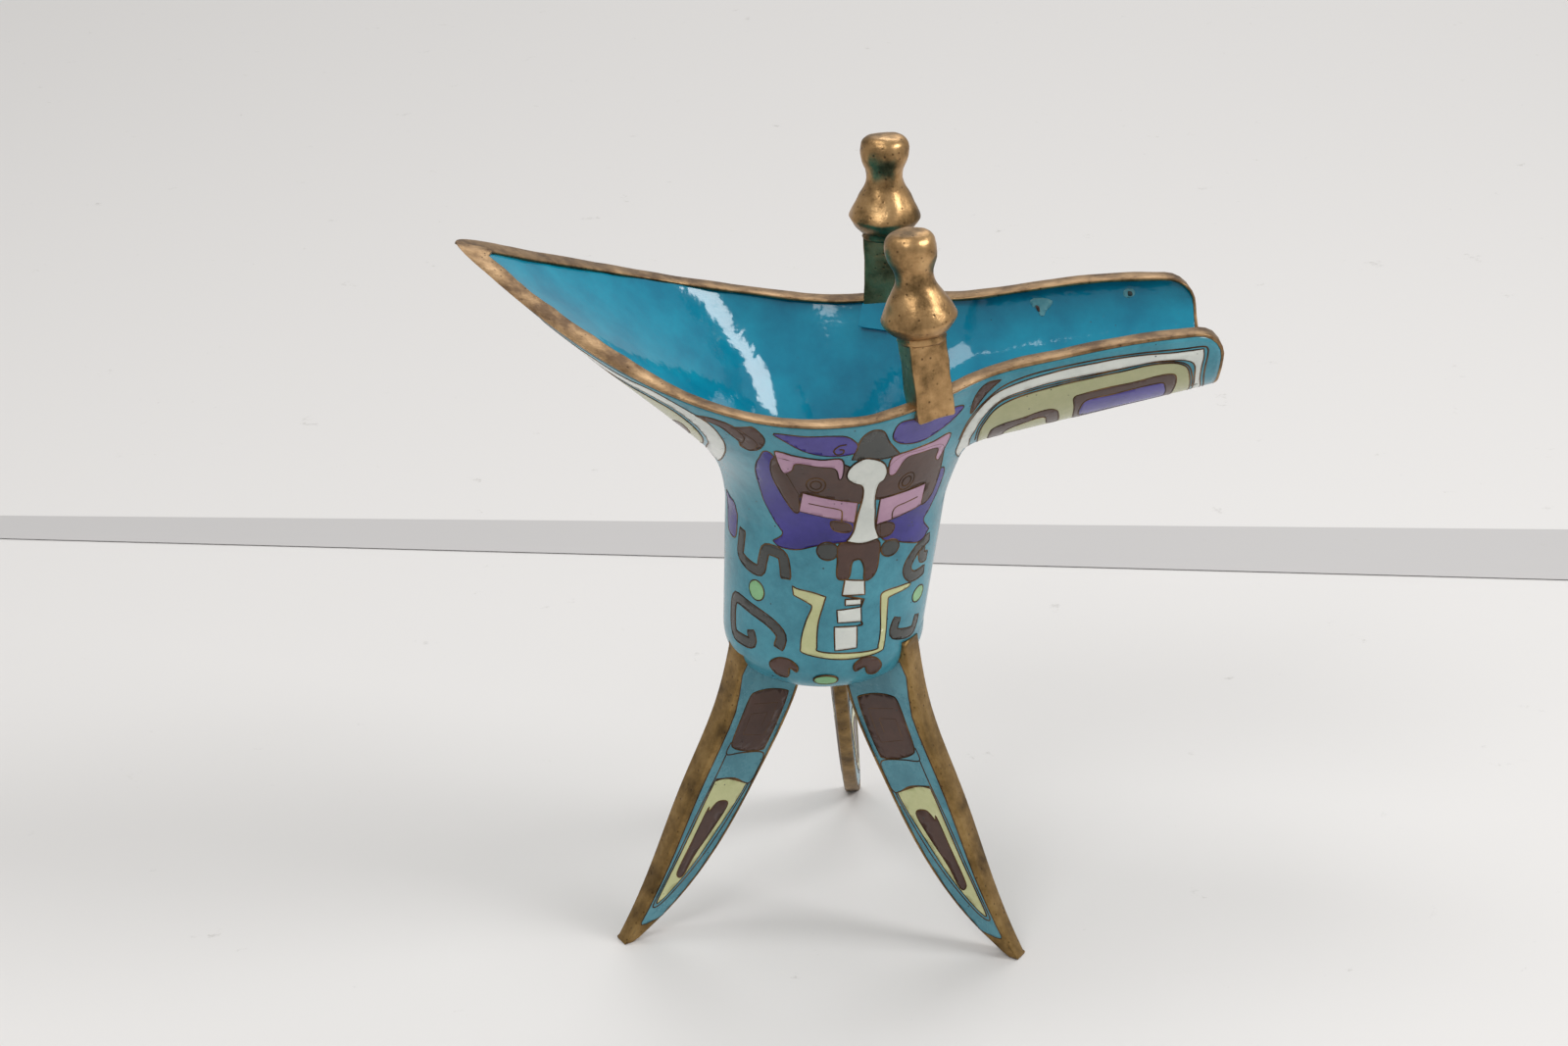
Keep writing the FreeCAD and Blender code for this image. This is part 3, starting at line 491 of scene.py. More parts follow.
def post(name, x, side, lean, seed):
    bm = bmesh.new()
    verts = [bm.verts.new((r, 0, z)) for r, z in CAP]
    edges = [bm.edges.new(pair) for pair in zip(verts, verts[1:])]
    bmesh.ops.spin(bm, geom=verts + edges, cent=(0, 0, 0), axis=(0, 0, 1), angle=2 * np.pi, steps=48,
                   use_merge=True)
    bmesh.ops.remove_doubles(bm, verts=bm.verts, dist=0.02)
    shaft = bmesh.ops.create_cube(bm, size=1)["verts"]
    bmesh.ops.scale(bm, verts=shaft, vec=SHAFT)
    bmesh.ops.translate(bm, verts=shaft, vec=(0, 0, SHAFT_MIDDLE))
    edges = [e for e in bm.edges if e.verts[0] in shaft and e.verts[1] in shaft]
    faces = {f for v in bevel(bm, edges, 0.5)["verts"] for f in v.link_faces}
    long_edges = [e for e in bm.edges if e.calc_length() > 2 and any(f in faces for f in e.link_faces)]
    bmesh.ops.subdivide_edges(bm, edges=long_edges, cuts=6, use_grid_fill=True)
    far_rim = rim[rim[:, 1] > 0.5][::-1]
    rim_y = np.interp(x, far_rim[:, 0], far_rim[:, 1])
    centre = Vector((x - POST_INSET * np.sin(POST_TURN), side * (rim_y - POST_INSET * np.cos(POST_TURN)), 0))
    base = Vector((0, 0, POST_FOOT))
    upright = Matrix.Rotation(-POST_TURN * side, 4, "Z")
    tilt = Matrix.Rotation(-np.radians(lean), 4, "Y")
    bmesh.ops.recalc_face_normals(bm, faces=bm.faces)
    for v in bm.verts:
        lump = noise.noise(v.co / 4 + Vector((seed, 0, 0))) * 0.3 + noise.noise(v.co / 1.6) * 0.09
        v.co += v.normal * lump
        v.co = (tilt @ (upright @ v.co - base) + base + centre) * MM
    piece(name + "_cast", bm, CAST, "gilt_bronze", name)


post("post_near", 19.0, -1, 6.5, 3.1)
post("post_far", 16.4, 1, 0.0, 8.7)
dress("post_near_foot", LINING)
dress("post_far_foot", LINING)

# %% [markdown]
# ## Legs
# Each leg is a cast blade with a wedge-shaped section that curves out and tapers to a small toe. A grid is laid
# through the same level sections as the CAD, its top follows the rounded bottom of the cup, and the sharp edges
# are bevelled, because cast edges are filed round. The handle is the CAD's own strap.
# %% Leg sections
# height, reach of the outer and inner edge, and the share of each edge's half width
LEG = np.array([(0, 49.0, 46.9, .58, 1.18), (4.5, 46.2, 39.6, .65, 1.07), (12.5, 41.9, 30.4, .74, 1.0),
                (33.5, 32.6, 15.8, .88, 1.0), (50.0, 24.7, 7.2, .97, 1.0), (66.0, 20.6, 3.4, 1.0, 1.0)])
AZIMUTHS = {"left": 200, "right": 320, "back": 79}
OUTER_HALF, INNER_HALF, LEG_TWIST, SOLE_SINK = 3.1, 1.4, np.radians(7), 0.25
FOOT, LEG_TOP = Vector((47.95, 0, 0)), Vector((12.0, 0, DOME_TOP))  # the line that a leg is twisted about
ACROSS = 12  # strips across a leg's side, so that its top can follow the rounded bottom


def through(column, at):
    # a natural cubic through the stations of the leg
    x, y = LEG[:, 0], LEG[:, column]
    h, n = np.diff(x), len(x)
    rows, right = np.eye(n), np.zeros(n)
    for i in range(1, n - 1):
        rows[i, i - 1:i + 2] = h[i - 1], 2 * (h[i - 1] + h[i]), h[i]
        right[i] = 6 * ((y[i + 1] - y[i]) / h[i] - (y[i] - y[i - 1]) / h[i - 1])
    m = np.linalg.solve(rows, right)
    k = np.clip(np.searchsorted(x, at) - 1, 0, n - 2)
    t = at - x[k]
    return (y[k] + t * ((y[k + 1] - y[k]) / h[k] - h[k] * (2 * m[k] + m[k + 1]) / 6) + t**2 * m[k] / 2
            + t**3 * (m[k + 1] - m[k]) / (6 * h[k]))


def stand(p, azimuth):
    # twist a leg about its own line, then turn it to its place
    move = (Matrix.Rotation(np.radians(azimuth), 4, "Z") @ Matrix.Translation(FOOT - Vector((0, 0, SOLE_SINK)))
            @ Matrix.Rotation(LEG_TWIST, 4, LEG_TOP - FOOT) @ Matrix.Translation(-FOOT))
    m = np.array(move)
    return p @ m[:3, :3].T + m[:3, 3]


def leg_face(u, h, side, azimuth):
    # a place on a leg's side: u millimetres in from the outer edge, at height h
    outer, inner = through(1, h), through(2, h)
    t = u / (outer - inner)
    wide = through(3, h) * OUTER_HALF * (1 - t) + through(4, h) * INNER_HALF * t
    return stand(np.stack([outer - u, side * wide, h], -1), azimuth)


def under_dome(p):
    # the top of a leg is filed to fit the rounded bottom and ends inside the wall
    roof = dome_height(np.hypot(p[..., 0] - DOME_X, p[..., 1]) + 1.2) + 1.0
    z = np.where(p[..., 2] > 50, np.minimum(p[..., 2], roof), p[..., 2])
    return np.concatenate([p[..., :2], z[..., None]], -1)


def leg(name, azimuth):
    h = np.concatenate([np.linspace(SOLE_SINK, 6, 8), np.linspace(7.5, DOME_TOP, 40)])
    w = through(1, h) - through(2, h)
    steps = np.arange(ACROSS + 1) / ACROSS
    loop = [leg_face(w * t, h, 1, azimuth) for t in steps] + [leg_face(w * t, h, -1, azimuth) for t in steps[::-1]]
    p = under_dome(np.stack(loop + loop[:1], 1))
    p[..., 2] = np.maximum(p[..., 2], 0)
    last = len(loop) - 1
    facing = list(range(last, -1, -1)) + [last]
    p = np.concatenate([p, (p[-1:] + p[-1:, facing]) / 2])  # close the top along its middle line
    bm = sheet_mesh(p)
    bmesh.ops.holes_fill(bm, edges=[e for e in bm.edges if e.is_boundary])
    sharp = [e for e in folds(bm, 0.6) if all(
        v.co.z / MM < dome_height(np.hypot(v.co.x / MM - DOME_X, v.co.y / MM)) - 0.3 for v in e.verts)]
    bevel(bm, sharp, 0.4 * MM)
    piece("leg_%s_cast" % name, bm, BLADE, "gilt_bronze", "leg_" + name)


for name, azimuth in AZIMUTHS.items():
    leg(name, azimuth)
dress("handle", CAST)

# %% [markdown]
# ## Cells and wires
# In cloisonne each patch of colour lies in a cell fenced by a bent wire. An outline is drawn flat on a chart of the
# surface, rounded into a smooth line, filled, cut into small pieces and laid on the form, 0.02 to 0.2 mm
# proud by its layer. The same outline becomes the wire, a thin round bar sunk nearly flush. The chart of the cup is
# azimuth in degrees and height; the chart of the spout and tail is the place along the vessel and the distance
# down from the rim, so that nothing is squeezed where the surface turns under.
# %% Charts


def rounded(points, closed=True, per=5):
    # a smooth line through the points; a point with a 2 behind it counts twice, so it stays a sharp corner
    p = np.array([q[:2] for q in points for again in q[1:]], float)
    n, found = len(p), []
    for k in range(n if closed else n - 1):
        a, b = p[k], p[(k + 1) % n]
        if np.allclose(a, b):
            continue
        before = p[k - 1] if closed or k > 0 else a
        after = p[(k + 2) % n] if closed or k + 2 < n else b
        for t in np.arange(per) / per:
            found.append(0.5 * (2 * a + (b - before) * t + (2 * before - 5 * a + 4 * b - after) * t**2
                                + (3 * a - before - 3 * b + after) * t**3))
    if not closed:
        found.append(p[-1])
    return np.array(found)


def cup_chart(q):
    def at(a, z):
        r = reach(a, z)
        turn = np.maximum(1 - ((z - BASE) / DOME_RISE), 0)**1.25
        dome = DOME_X * np.cos(a) + DOME_FLAT + DOME_WIDE * (1 - turn**2)**0.4 + 0.3 * ease((DOME_TOP - z) / 3)
        r = np.where(z < DOME_TOP, dome, r)
        return np.stack([r * np.cos(a), r * np.sin(a), z], -1)
    a, z = np.radians(q[:, 0]), q[:, 1]
    n = np.cross(at(a + .01, z) - at(a - .01, z), at(a, z + .1) - at(a, z - .1))
    return at(a, z), unit(n)


# the sides of the spout and tail: for each place along them, the line from the rim down to the keel
SIDE_STEP = 0.75
SIDE_X = np.arange(-70, 78.6, SIDE_STEP)
_, high = halve(np.full(SIDE_X.shape, 60.0), rim_height(SIDE_X), 40,
                lambda z: reach(np.where(SIDE_X > 0, 0.0, np.pi), z) <= np.abs(SIDE_X))
BARREL, BARREL_LOW = 22, 90  # within the barrel of the cup the lines end at this height
KEEL = np.where(np.abs(SIDE_X) < BARREL, BARREL_LOW, high)
share = np.linspace(1, 0, 60)[:, None]
side_z = KEEL + (rim_height(SIDE_X) - KEEL) * share**2
low, _ = halve(np.full(side_z.shape, 1e-4), np.full(side_z.shape, np.pi - 1e-4), 36,
               lambda a: reach(a, side_z) * np.cos(a) > SIDE_X)
side_y = -reach(low, side_z) * np.sin(low)
side_y[-1] = np.where(np.abs(SIDE_X) < BARREL, side_y[-1], 0)
SIDE = np.stack([SIDE_X + 0 * side_z, side_y, side_z], -1)
DOWN = np.concatenate([np.zeros((1, len(SIDE_X))),
                       np.cumsum(np.linalg.norm(np.diff(SIDE, axis=0), axis=2), axis=0)])


def column_at(x):
    # the line of the chart before x, and the share of the way to the next one
    k = np.clip((x - SIDE_X[0]) / SIDE_STEP, 0, len(SIDE_X) - 1.001)
    return k.astype(int), k - k.astype(int)


def side_down(q):
    # from height to distance down from the rim
    i, part = column_at(q[:, 0])
    two = [np.array([np.interp(-z, -side_z[:, c], DOWN[:, c]) for z, c in zip(q[:, 1], i + s)]) for s in (0, 1)]
    return np.stack([q[:, 0], two[0] + (two[1] - two[0]) * part], -1)


def side_chart(q):
    def at(x, d):
        i, part = column_at(x)
        two = [np.array([[np.interp(dd, DOWN[:, c], SIDE[:, c, j]) for j in range(3)] for dd, c in zip(d, i + s)])
               for s in (0, 1)]
        return two[0] + (two[1] - two[0]) * part[:, None]
    x, d = q[:, 0], np.clip(q[:, 1], 0, 99)
    n = np.cross(at(x, d + .2) - at(x, np.maximum(d - .2, 0)), at(x + .5, d) - at(x - .5, d))
    return at(x, d), unit(n)


print("keel of the spout at its end", round(float(np.interp(78, SIDE_X, KEEL)), 1), "mm")

# %% Fill a cell, draw a wire
LIFT, LAYER = 0.02, 0.03  # how proud a cell stands, and each layer more
CELL_DEPTH, BED_DEPTH = 0.25, 0.3
WIRE_RADIUS, WIRE_SINK = 0.24, 0.16
cells, wires = {}, []


def lay(chart, q, proud):
    p, n = chart(q)
    return p + n * proud


def fill(colour, outline, chart, step, layer=1, fence=True, both=True):
    # one cell: outline filled, cut into pieces of about step, laid on the form and kept with its colour
    bm = bmesh.new()
    bm.faces.new([bm.verts.new((a, b, 0)) for a, b in outline]).normal_update()
    bmesh.ops.triangulate(bm, faces=bm.faces)
    for axis in (0, 1):
        low, high = outline[:, axis].min(), outline[:, axis].max()
        for place in np.arange(low + step[axis] / 2, high, step[axis]):
            co, no = [0, 0, 0], [0, 0, 0]
            co[axis], no[axis] = place, 1
            bmesh.ops.bisect_plane(bm, geom=bm.verts[:] + bm.edges[:] + bm.faces[:], plane_co=co, plane_no=no)
    bmesh.ops.triangulate(bm, faces=bm.faces)
    p = lay(chart, np.array([v.co[:2] for v in bm.verts]), LIFT + LAYER * layer)
    for v, place in zip(bm.verts, p):
        v.co = Vector(place) * MM
    for f in bm.faces:
        f.normal_update()
    _, facing = chart(outline.mean(0)[None, :])
    if sum(f.normal.dot(Vector(facing[0])) * f.calc_area() for f in bm.faces) < 0:
        bmesh.ops.reverse_faces(bm, faces=bm.faces)
    if both:
        twin = bmesh.ops.duplicate(bm, geom=bm.verts[:] + bm.edges[:] + bm.faces[:])["geom"]
        bmesh.ops.scale(bm, vec=(1, -1, 1), verts=[g for g in twin if isinstance(g, bmesh.types.BMVert)])
        bmesh.ops.reverse_faces(bm, faces=[g for g in twin if isinstance(g, bmesh.types.BMFace)])
    cells.setdefault(colour, []).append(mesh_of("cell", bm))
    if fence:
        wire(outline, chart, True, both, layer)


def wire(line, chart, closed=False, both=True, layer=1):
    # one bent wire, sunk so that a little of its round shows
    p = lay(chart, line, LAYER * layer - WIRE_SINK)
    wires.append((p, closed))
    if both:
        wires.append((p * [1, -1, 1], closed))


def thicken(made, depth):
    # give a cell its depth, inwards
    solid = made.modifiers.new("depth", "SOLIDIFY")
    solid.thickness, solid.offset = depth * MM, -1


def joined(meshes):
    bm = bmesh.new()
    for mesh in meshes:
        bm.from_mesh(mesh)
        bpy.data.meshes.remove(mesh)
    return bm


def gather(prefix, slot):
    # all cells of one colour become one piece, and all wires one curve
    for colour, meshes in cells.items():
        thicken(piece("%s_%s_cells" % (prefix, colour), joined(meshes), CELLS[colour], slot, turn_out=False),
                CELL_DEPTH)
    curve = bpy.data.curves.new(prefix + "_wires", "CURVE")
    curve.dimensions, curve.bevel_depth, curve.bevel_resolution = "3D", WIRE_RADIUS * MM, 1
    for p, closed in wires:
        spline = curve.splines.new("POLY")
        spline.points.add(len(p) - 1)
        spline.points.foreach_set("co", np.concatenate([p * MM, np.ones((len(p), 1))], 1).ravel())
        spline.use_cyclic_u = closed
    made = put(prefix + "_wires", curve)
    curve.materials.append(WIRE)
    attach(made, "root")
    print(prefix, len(cells), "colours and", len(wires), "wires")
    cells.clear()
    wires.clear()


def ring(a, z, ra, rz):
    # eight points on an oval
    t = np.linspace(0, 2 * np.pi, 9)[:-1]
    return [(a + ra * np.cos(k), z + rz * np.sin(k)) for k in t]


DEGREES = 2.55  # on the barrel of the cup this many degrees are one millimetre


def stroke(line, half):
    # a band of even width along a line on the cup's chart
    p = rounded(line, False, 4) / [DEGREES, 1]
    d = np.gradient(p, axis=0)
    n = unit(np.stack([-d[:, 1], d[:, 0]], -1))
    wide = half * np.minimum(1, 0.85 + np.minimum(np.arange(len(p)), np.arange(len(p))[::-1])[:, None] / 4)
    return np.concatenate([p + n * wide, (p - n * wide)[::-1]]) * [DEGREES, 1]


# %% [markdown]
# ## The beast mask on the cup
# An old Chinese pattern of a beast's face: brow, eyes, nose and jaw, with hooked wings and scrolls beside it. It is
# on both sides of the cup, and the side under the handle mirrors this one. Cells on a higher layer lie on others.
# %% Mask outlines: colour, layer, points (azimuth, height)
MASK = [
    ("violet", 1, [(-108.5, 122.6), (-100, 121.5), (-92.5, 121.1), (-87.5, 120.4), (-83.8, 117.9), (-84.4, 115.8),
     (-90, 115.4), (-96.3, 116.1), (-101.3, 117.6), (-105.6, 120.1)]),
    ("violet", 1, [(-71.6, 119.7), (-70, 122), (-63.8, 122), (-57.5, 121.3), (-51.3, 121.9), (-44.4, 121.5),
     (-46.9, 118.6), (-52.5, 116.5), (-58.8, 115.4), (-66.3, 116), (-70.6, 117.6)]),
    ("cobalt", 1, [(-111.3, 116.9), (-116.3, 114.7), (-121.3, 109.7), (-124.4, 104), (-125, 100.4), (-121.9, 96.1),
     (-118.1, 93.3), (-124.2, 91.3, 2), (-120, 90.3), (-110, 90.3), (-100, 91.5), (-90, 92.2), (-82, 93.0), (-82, 98),
     (-95, 101), (-105, 104)]),
    ("cobalt", 1, [(-47, 104), (-38, 105.5), (-34.2, 103.3), (-33.8, 99), (-36.3, 95.4), (-39.4, 93.3),
     (-33.1, 90.4, 2), (-40, 88.6), (-50, 89.7), (-58.8, 91.1), (-66, 92.5), (-66, 98), (-58, 100)]),
    ("brown", 2, [(-114.4, 110), (-111, 115.5), (-106, 115), (-98, 114), (-88, 113), (-79.5, 108), (-79.4, 102),
     (-90, 103.4), (-103.8, 105.3), (-106.9, 99.9), (-110, 99.7), (-113.5, 104)]),
    ("brown", 2, [(-72.5, 107.8), (-66, 112.6), (-56, 113), (-46, 112.5), (-41, 108), (-38.5, 103), (-39, 99),
     (-45, 97.9), (-46.9, 103.3), (-60, 103), (-72.5, 102.6)]),
    ("pink", 3, [(-110, 117), (-108, 117.3), (-104, 116.2), (-96, 114.8), (-88.8, 114.4), (-87.8, 110.4),
     (-89.2, 109), (-91, 112), (-97, 112.9), (-104, 114), (-106, 112), (-109.5, 111.3)]),
    ("pink", 3, [(-69.2, 112.9), (-62, 113.6), (-52, 114.2), (-44.4, 114.9), (-43.8, 109), (-46.5, 109.3), (-48, 112),
     (-57, 112.3), (-63, 111.8), (-66, 108.4), (-69, 108.8)]),
    ("pink", 3, [(-103.8, 105.3, 2), (-92, 103.6), (-80.3, 102.2, 2), (-80.6, 96.9, 2), (-87.5, 97.9), (-98, 99),
     (-106.9, 99.9, 2)]),
    ("pink", 3, [(-70, 102.4, 2), (-58, 102.9), (-46.9, 103.3, 2), (-45, 97.9, 2), (-55, 97), (-62, 96.4),
     (-69.4, 95.8, 2)]),
    ("grey", 2, [(-82.5, 119.7), (-79.4, 121.2), (-75.5, 120.4), (-72, 117), (-66.3, 113.3, 2), (-73, 113),
     (-85, 114, 2), (-83.8, 116.9)]),
    ("white", 6, [(-86.3, 109.7), (-85, 112.2), (-80, 113.9), (-73.1, 112.2), (-70.3, 109.7), (-70.6, 107.6),
     (-72.5, 106.5), (-72.8, 103.3), (-71.3, 99), (-70, 95.4), (-67.5, 92.6, 2), (-76.3, 91.9), (-83.8, 92.6, 2),
     (-80.6, 94.7), (-79.4, 99), (-78.4, 103.3), (-79.4, 106.5), (-83.8, 107.9)]),
    ("brown", 2, [(-92, 97.5), (-87, 97.4), (-82.5, 96.4), (-82, 94.8), (-86, 94.6), (-91, 95.4)]),
    ("brown", 2, [(-69, 95.6), (-62, 95.7), (-59, 94.4), (-61, 92.8), (-67, 92.7)]),
    ("grey", 2, ring(-93.8, 90.4, 5.5, 2.0)),
    ("grey", 2, ring(-60.6, 89.7, 5.2, 1.9)),
    ("brown", 3, [(-87.5, 91.9), (-77, 92), (-67.5, 91.9), (-67, 88), (-68.1, 85.1), (-71, 83.6), (-74.4, 83.5),
     (-74.6, 86), (-76.3, 88), (-78.8, 88.3), (-81.3, 87.6), (-82.6, 84.6), (-85.5, 83.9), (-88.8, 84.6),
     (-88.6, 88)]),
    ("white", 2, [(-84.8, 83.9, 2), (-74.4, 83.3, 2), (-74, 80.1, 2), (-86.3, 80.4, 2)]),
    ("white", 2, [(-84.6, 79.4, 2), (-76, 79.2, 2), (-76, 77.9, 2), (-84.6, 78.0, 2)]),
    ("white", 2, [(-89, 77.0, 2), (-76, 77.3, 2), (-75.6, 74, 2), (-88.6, 74.2, 2)]),
    ("white", 2, [(-90.5, 73.2, 2), (-78, 73, 2), (-78, 68, 2), (-90.2, 67.8, 2)]),
    ("yellow", 1, [(-113.1, 82, 2), (-110, 81.5), (-102, 81), (-95, 80.1, 2), (-96.9, 77.6), (-99.4, 74),
     (-100.3, 69), (-98.8, 67.6), (-82.5, 66.9), (-66.3, 66.6), (-64.4, 67.6), (-63.5, 71.1), (-64.4, 77.6),
     (-63.1, 79.7), (-52.5, 79.9), (-45, 79.7), (-45.6, 78.9), (-58.4, 78.3), (-60, 76.9), (-59.8, 71.1),
     (-60.6, 66.9), (-62.5, 66), (-72.5, 65.6), (-90, 65.8), (-107.5, 67.1), (-109.1, 68.6), (-108.1, 71.5),
     (-105.6, 74.7), (-102.5, 77.6), (-104.4, 78.6), (-112.5, 80.1, 2)]),
    ("green", 1, ring(-136.5, 79.1, 5.6, 2.2)),
    ("green", 1, ring(-35, 75.8, 5.8, 1.8)),
    ("green", 1, ring(-95.6, 60.6, 7, 1.3)),
    ("brown", 1, [(-128, 63.5), (-124, 61), (-118, 61), (-115.8, 63.4), (-112, 62.7), (-111.6, 64), (-116.3, 65.3),
     (-123, 65.2)]),
    ("brown", 1, [(-79, 64.2), (-78.4, 62.6), (-73, 63.4), (-70.5, 61.4), (-65, 60.8), (-62, 62.4), (-65.5, 64.6),
     (-73, 65.4)]),
    ("cobalt", 1, [(-167, 97), (-160, 96.8), (-154.5, 96), (-154, 92), (-156, 88.5), (-163, 88.2), (-168, 90)]),
]
SCROLLS = [
    ("grey", [(-148.1, 91.2), (-149.5, 88), (-150.2, 85.6), (-144, 84.2), (-134, 83.8), (-131.4, 86.6), (-128.5, 89),
     (-119.5, 88.6), (-117.4, 86.4), (-117, 83.4)]),
    ("grey", [(-122.5, 67.4), (-120.6, 70.4), (-127.5, 72.9), (-140, 74.5), (-155, 75.2), (-158.6, 71.5),
     (-157, 67.2), (-149, 66.6), (-140.5, 67), (-141.5, 69.6)]),
    ("grey", [(-31, 88.2), (-40, 87.4), (-47, 84.8), (-47.6, 82.6), (-42.5, 80.9), (-32, 81)]),
    ("grey", [(-37.5, 86.6), (-36, 84.4), (-31, 84)]),
    ("grey", [(-51.9, 72.6), (-54, 69.4), (-46, 68), (-36, 67.6), (-32.8, 70.6)]),
    ("brown", [(-116.5, 124), (-114.6, 121), (-116.6, 118.6), (-119.4, 118)]),
]
DEEP = [rounded(line, False) for line in (
    [(-101.9, 102.4), (-95, 101.6), (-88.8, 100.8), (-87, 100), (-86.9, 97.6)],
    [(-49.4, 100.4), (-56, 99.9), (-60.4, 99.5), (-62, 98.4), (-61.4, 96.4)],
    [(-87.6, 118.4), (-90, 118.2), (-91.6, 117), (-90.6, 115.9), (-88.6, 116.1), (-88.4, 117), (-89.8, 117.2)],
    [(-76, 77.3, 2), (-74.4, 79, 2), (-86.3, 80.4)],
    [(-76, 74.1), (-75, 73.2), (-77.5, 73.1)])]
CUP_STEP, SIDE_CELL = (3.2, 1.25), (1.4, 1.2)  # how finely cells are cut, to follow the form
for colour, layer, points in MASK:
    fill(colour, rounded(points), cup_chart, CUP_STEP, layer)
for colour, points in SCROLLS:
    fill(colour, stroke(points, 1.15), cup_chart, CUP_STEP)
for line in DEEP:
    wire(line, cup_chart, layer=4)
for centre in ((-98.1, 107.7), (-59, 105.6)):  # two rings in each eye
    for r in (3.7, 2.1):
        wire(rounded(ring(*centre, r, r * 0.56)), cup_chart, True, layer=3)
gather("mask", "cloisonne_enamel")

# %% [markdown]
# ## Bands on the spout and tail
# White and olive bands sweep along the sides of the spout and under the tail, with hooks and a violet cartouche.
# They run down to the keel, where they meet the bands of the other side.
# %% Side outlines: colour, layer, points (place along, height)
SIDES = [
    ("white", 1, [(25, 108), (25.6, 112), (26.4, 115.2), (28, 118.3), (29.8, 120.8), (32, 122.8), (35, 124.2),
     (38, 125.2), (42, 126.2), (47, 127.2), (52, 127.8), (57, 128.4), (62, 128.6), (67, 128.5), (71, 128.6),
     (74, 128.7, 2), (74.2, 127), (74, 124), (74.2, 121), (75, 118), (75.6, 115.4, 2), (73.6, 114.9, 2), (73.3, 119),
     (72.9, 122), (72.6, 124.6), (71.8, 125.8), (70, 126.5), (67, 126.8), (64, 126.8), (60, 126.3), (54, 125.6),
     (48, 124.9), (43, 124.2), (39, 123.2), (35.5, 122.2), (32.8, 120.8), (30.7, 118.6), (29.2, 116), (28.4, 113.5),
     (27.7, 111), (28.2, 106.6, 2), (26.2, 104.8, 2)]),
    ("olive", 2, [(30, 107.5), (29.5, 110.5), (29.6, 113.5), (30.6, 116.3), (32, 118.6), (34, 120.2), (37, 121.5),
     (41, 122.6), (46, 123.6), (52, 124.5), (58, 125.3), (62, 126), (66, 126.2), (69, 125.8), (70.9, 124.6),
     (71.8, 122.3), (72.4, 119.2), (72.8, 116.5), (72.8, 114.6, 2), (62, 112.2), (50, 110), (40, 108), (33, 106.6),
     (30.4, 106, 2)]),
    ("brown", 3, [(31.8, 112), (32.4, 113.4), (34.5, 114.6), (38, 115.6), (41, 116.8), (43.5, 117.3), (45, 116.6),
     (45.6, 115), (45.9, 112.5), (43.8, 112.2), (43, 114.6), (41.5, 114.9), (39, 114.0), (36.5, 112.8), (35, 111.5),
     (34.4, 109), (32, 109)]),
    ("brown", 3, [(48.2, 119.8), (50, 120.6), (55, 121.6), (60, 122.2), (65, 123.2), (67.5, 123.4), (68.8, 122.8),
     (69.2, 121), (69.1, 118.5), (68.9, 116.0), (68, 115.0), (58, 113.2), (50, 112.4), (49, 113.6), (48.6, 117)]),
    ("violet", 4, [(49.9, 114.6), (49.9, 116.5), (50.6, 118.4), (52.5, 119.1), (56, 119.5), (60, 120.3), (64, 121),
     (66.4, 121.1), (67.2, 119.5), (67.5, 117.3), (66.6, 116), (58, 114.6), (51, 113.6)]),
    ("brown", 1, [(27.2, 118.9), (27.2, 121), (28.2, 124), (30.2, 125.8), (33, 126, 2), (30.4, 123.6),
     (28.8, 121.4)]),
    ("white", 1, [(-56, 139.0), (-49, 135.6), (-42, 132), (-36, 130.3), (-30, 127), (-25, 123.5), (-22.5, 119.5),
     (-21.6, 116), (-21.8, 112), (-22.4, 107, 2), (-24.6, 107.6, 2), (-24.9, 113), (-24.8, 116), (-25.7, 119),
     (-28, 122.5), (-32, 126), (-37, 128.4), (-42, 130), (-50, 133), (-56, 137.6, 2)]),
    ("olive", 2, [(-55, 137.2), (-50, 132.2), (-42, 129.0), (-37, 127.4), (-32, 125), (-28.6, 121.9), (-26.6, 118.8),
     (-25.8, 116), (-25.8, 112), (-27, 109), (-34, 116), (-45, 126), (-54, 135)]),
    ("brown", 3, [(-31, 120.2), (-29.4, 119.8), (-28.2, 117), (-28.4, 114), (-30, 113.2), (-31.5, 115.5)]),
    ("brown", 1, [(-27.5, 125.3), (-25, 125.5), (-21.5, 124.5), (-18.5, 122.3), (-16.2, 120), (-15.9, 118.4),
     (-17.2, 117.2), (-18.9, 118), (-19.2, 119.4), (-20.8, 121.2), (-23, 123.3), (-25.5, 124.4)]),
]
for colour, layer, points in SIDES:
    fill(colour, side_down(rounded(points)), side_chart, SIDE_CELL, layer)
LINES = [
    [(25.2, 112), (26.4, 116.2), (28.2, 119.4), (30.6, 122.1), (33, 124.1), (36, 125.5), (40, 126.7), (45, 127.6),
     (50, 128.3), (55, 128.8), (60, 129.1), (65, 129.2), (70, 129.2), (73.9, 129.3), (74.9, 128.6), (75, 127),
     (74.8, 124), (75, 121), (75.7, 118), (76.3, 115.8)],
    [(29, 110), (29.1, 113.6), (30.2, 116.6), (31.7, 119.2), (33.8, 121), (37, 122.1), (41, 123.2), (46, 124.1),
     (52, 125), (58, 125.9), (63, 126.6), (68, 126.4), (71, 125.2), (72.3, 122.4), (73, 118.6)]]
for points in LINES:
    wire(side_down(rounded(points, False)), side_chart)


def far_lining(q):
    # the face of the lining on the far side, on the same chart
    p, n = side_chart(q)
    return (p - n * WALL) * [1, -1, 1], n * [-1, 1, -1]


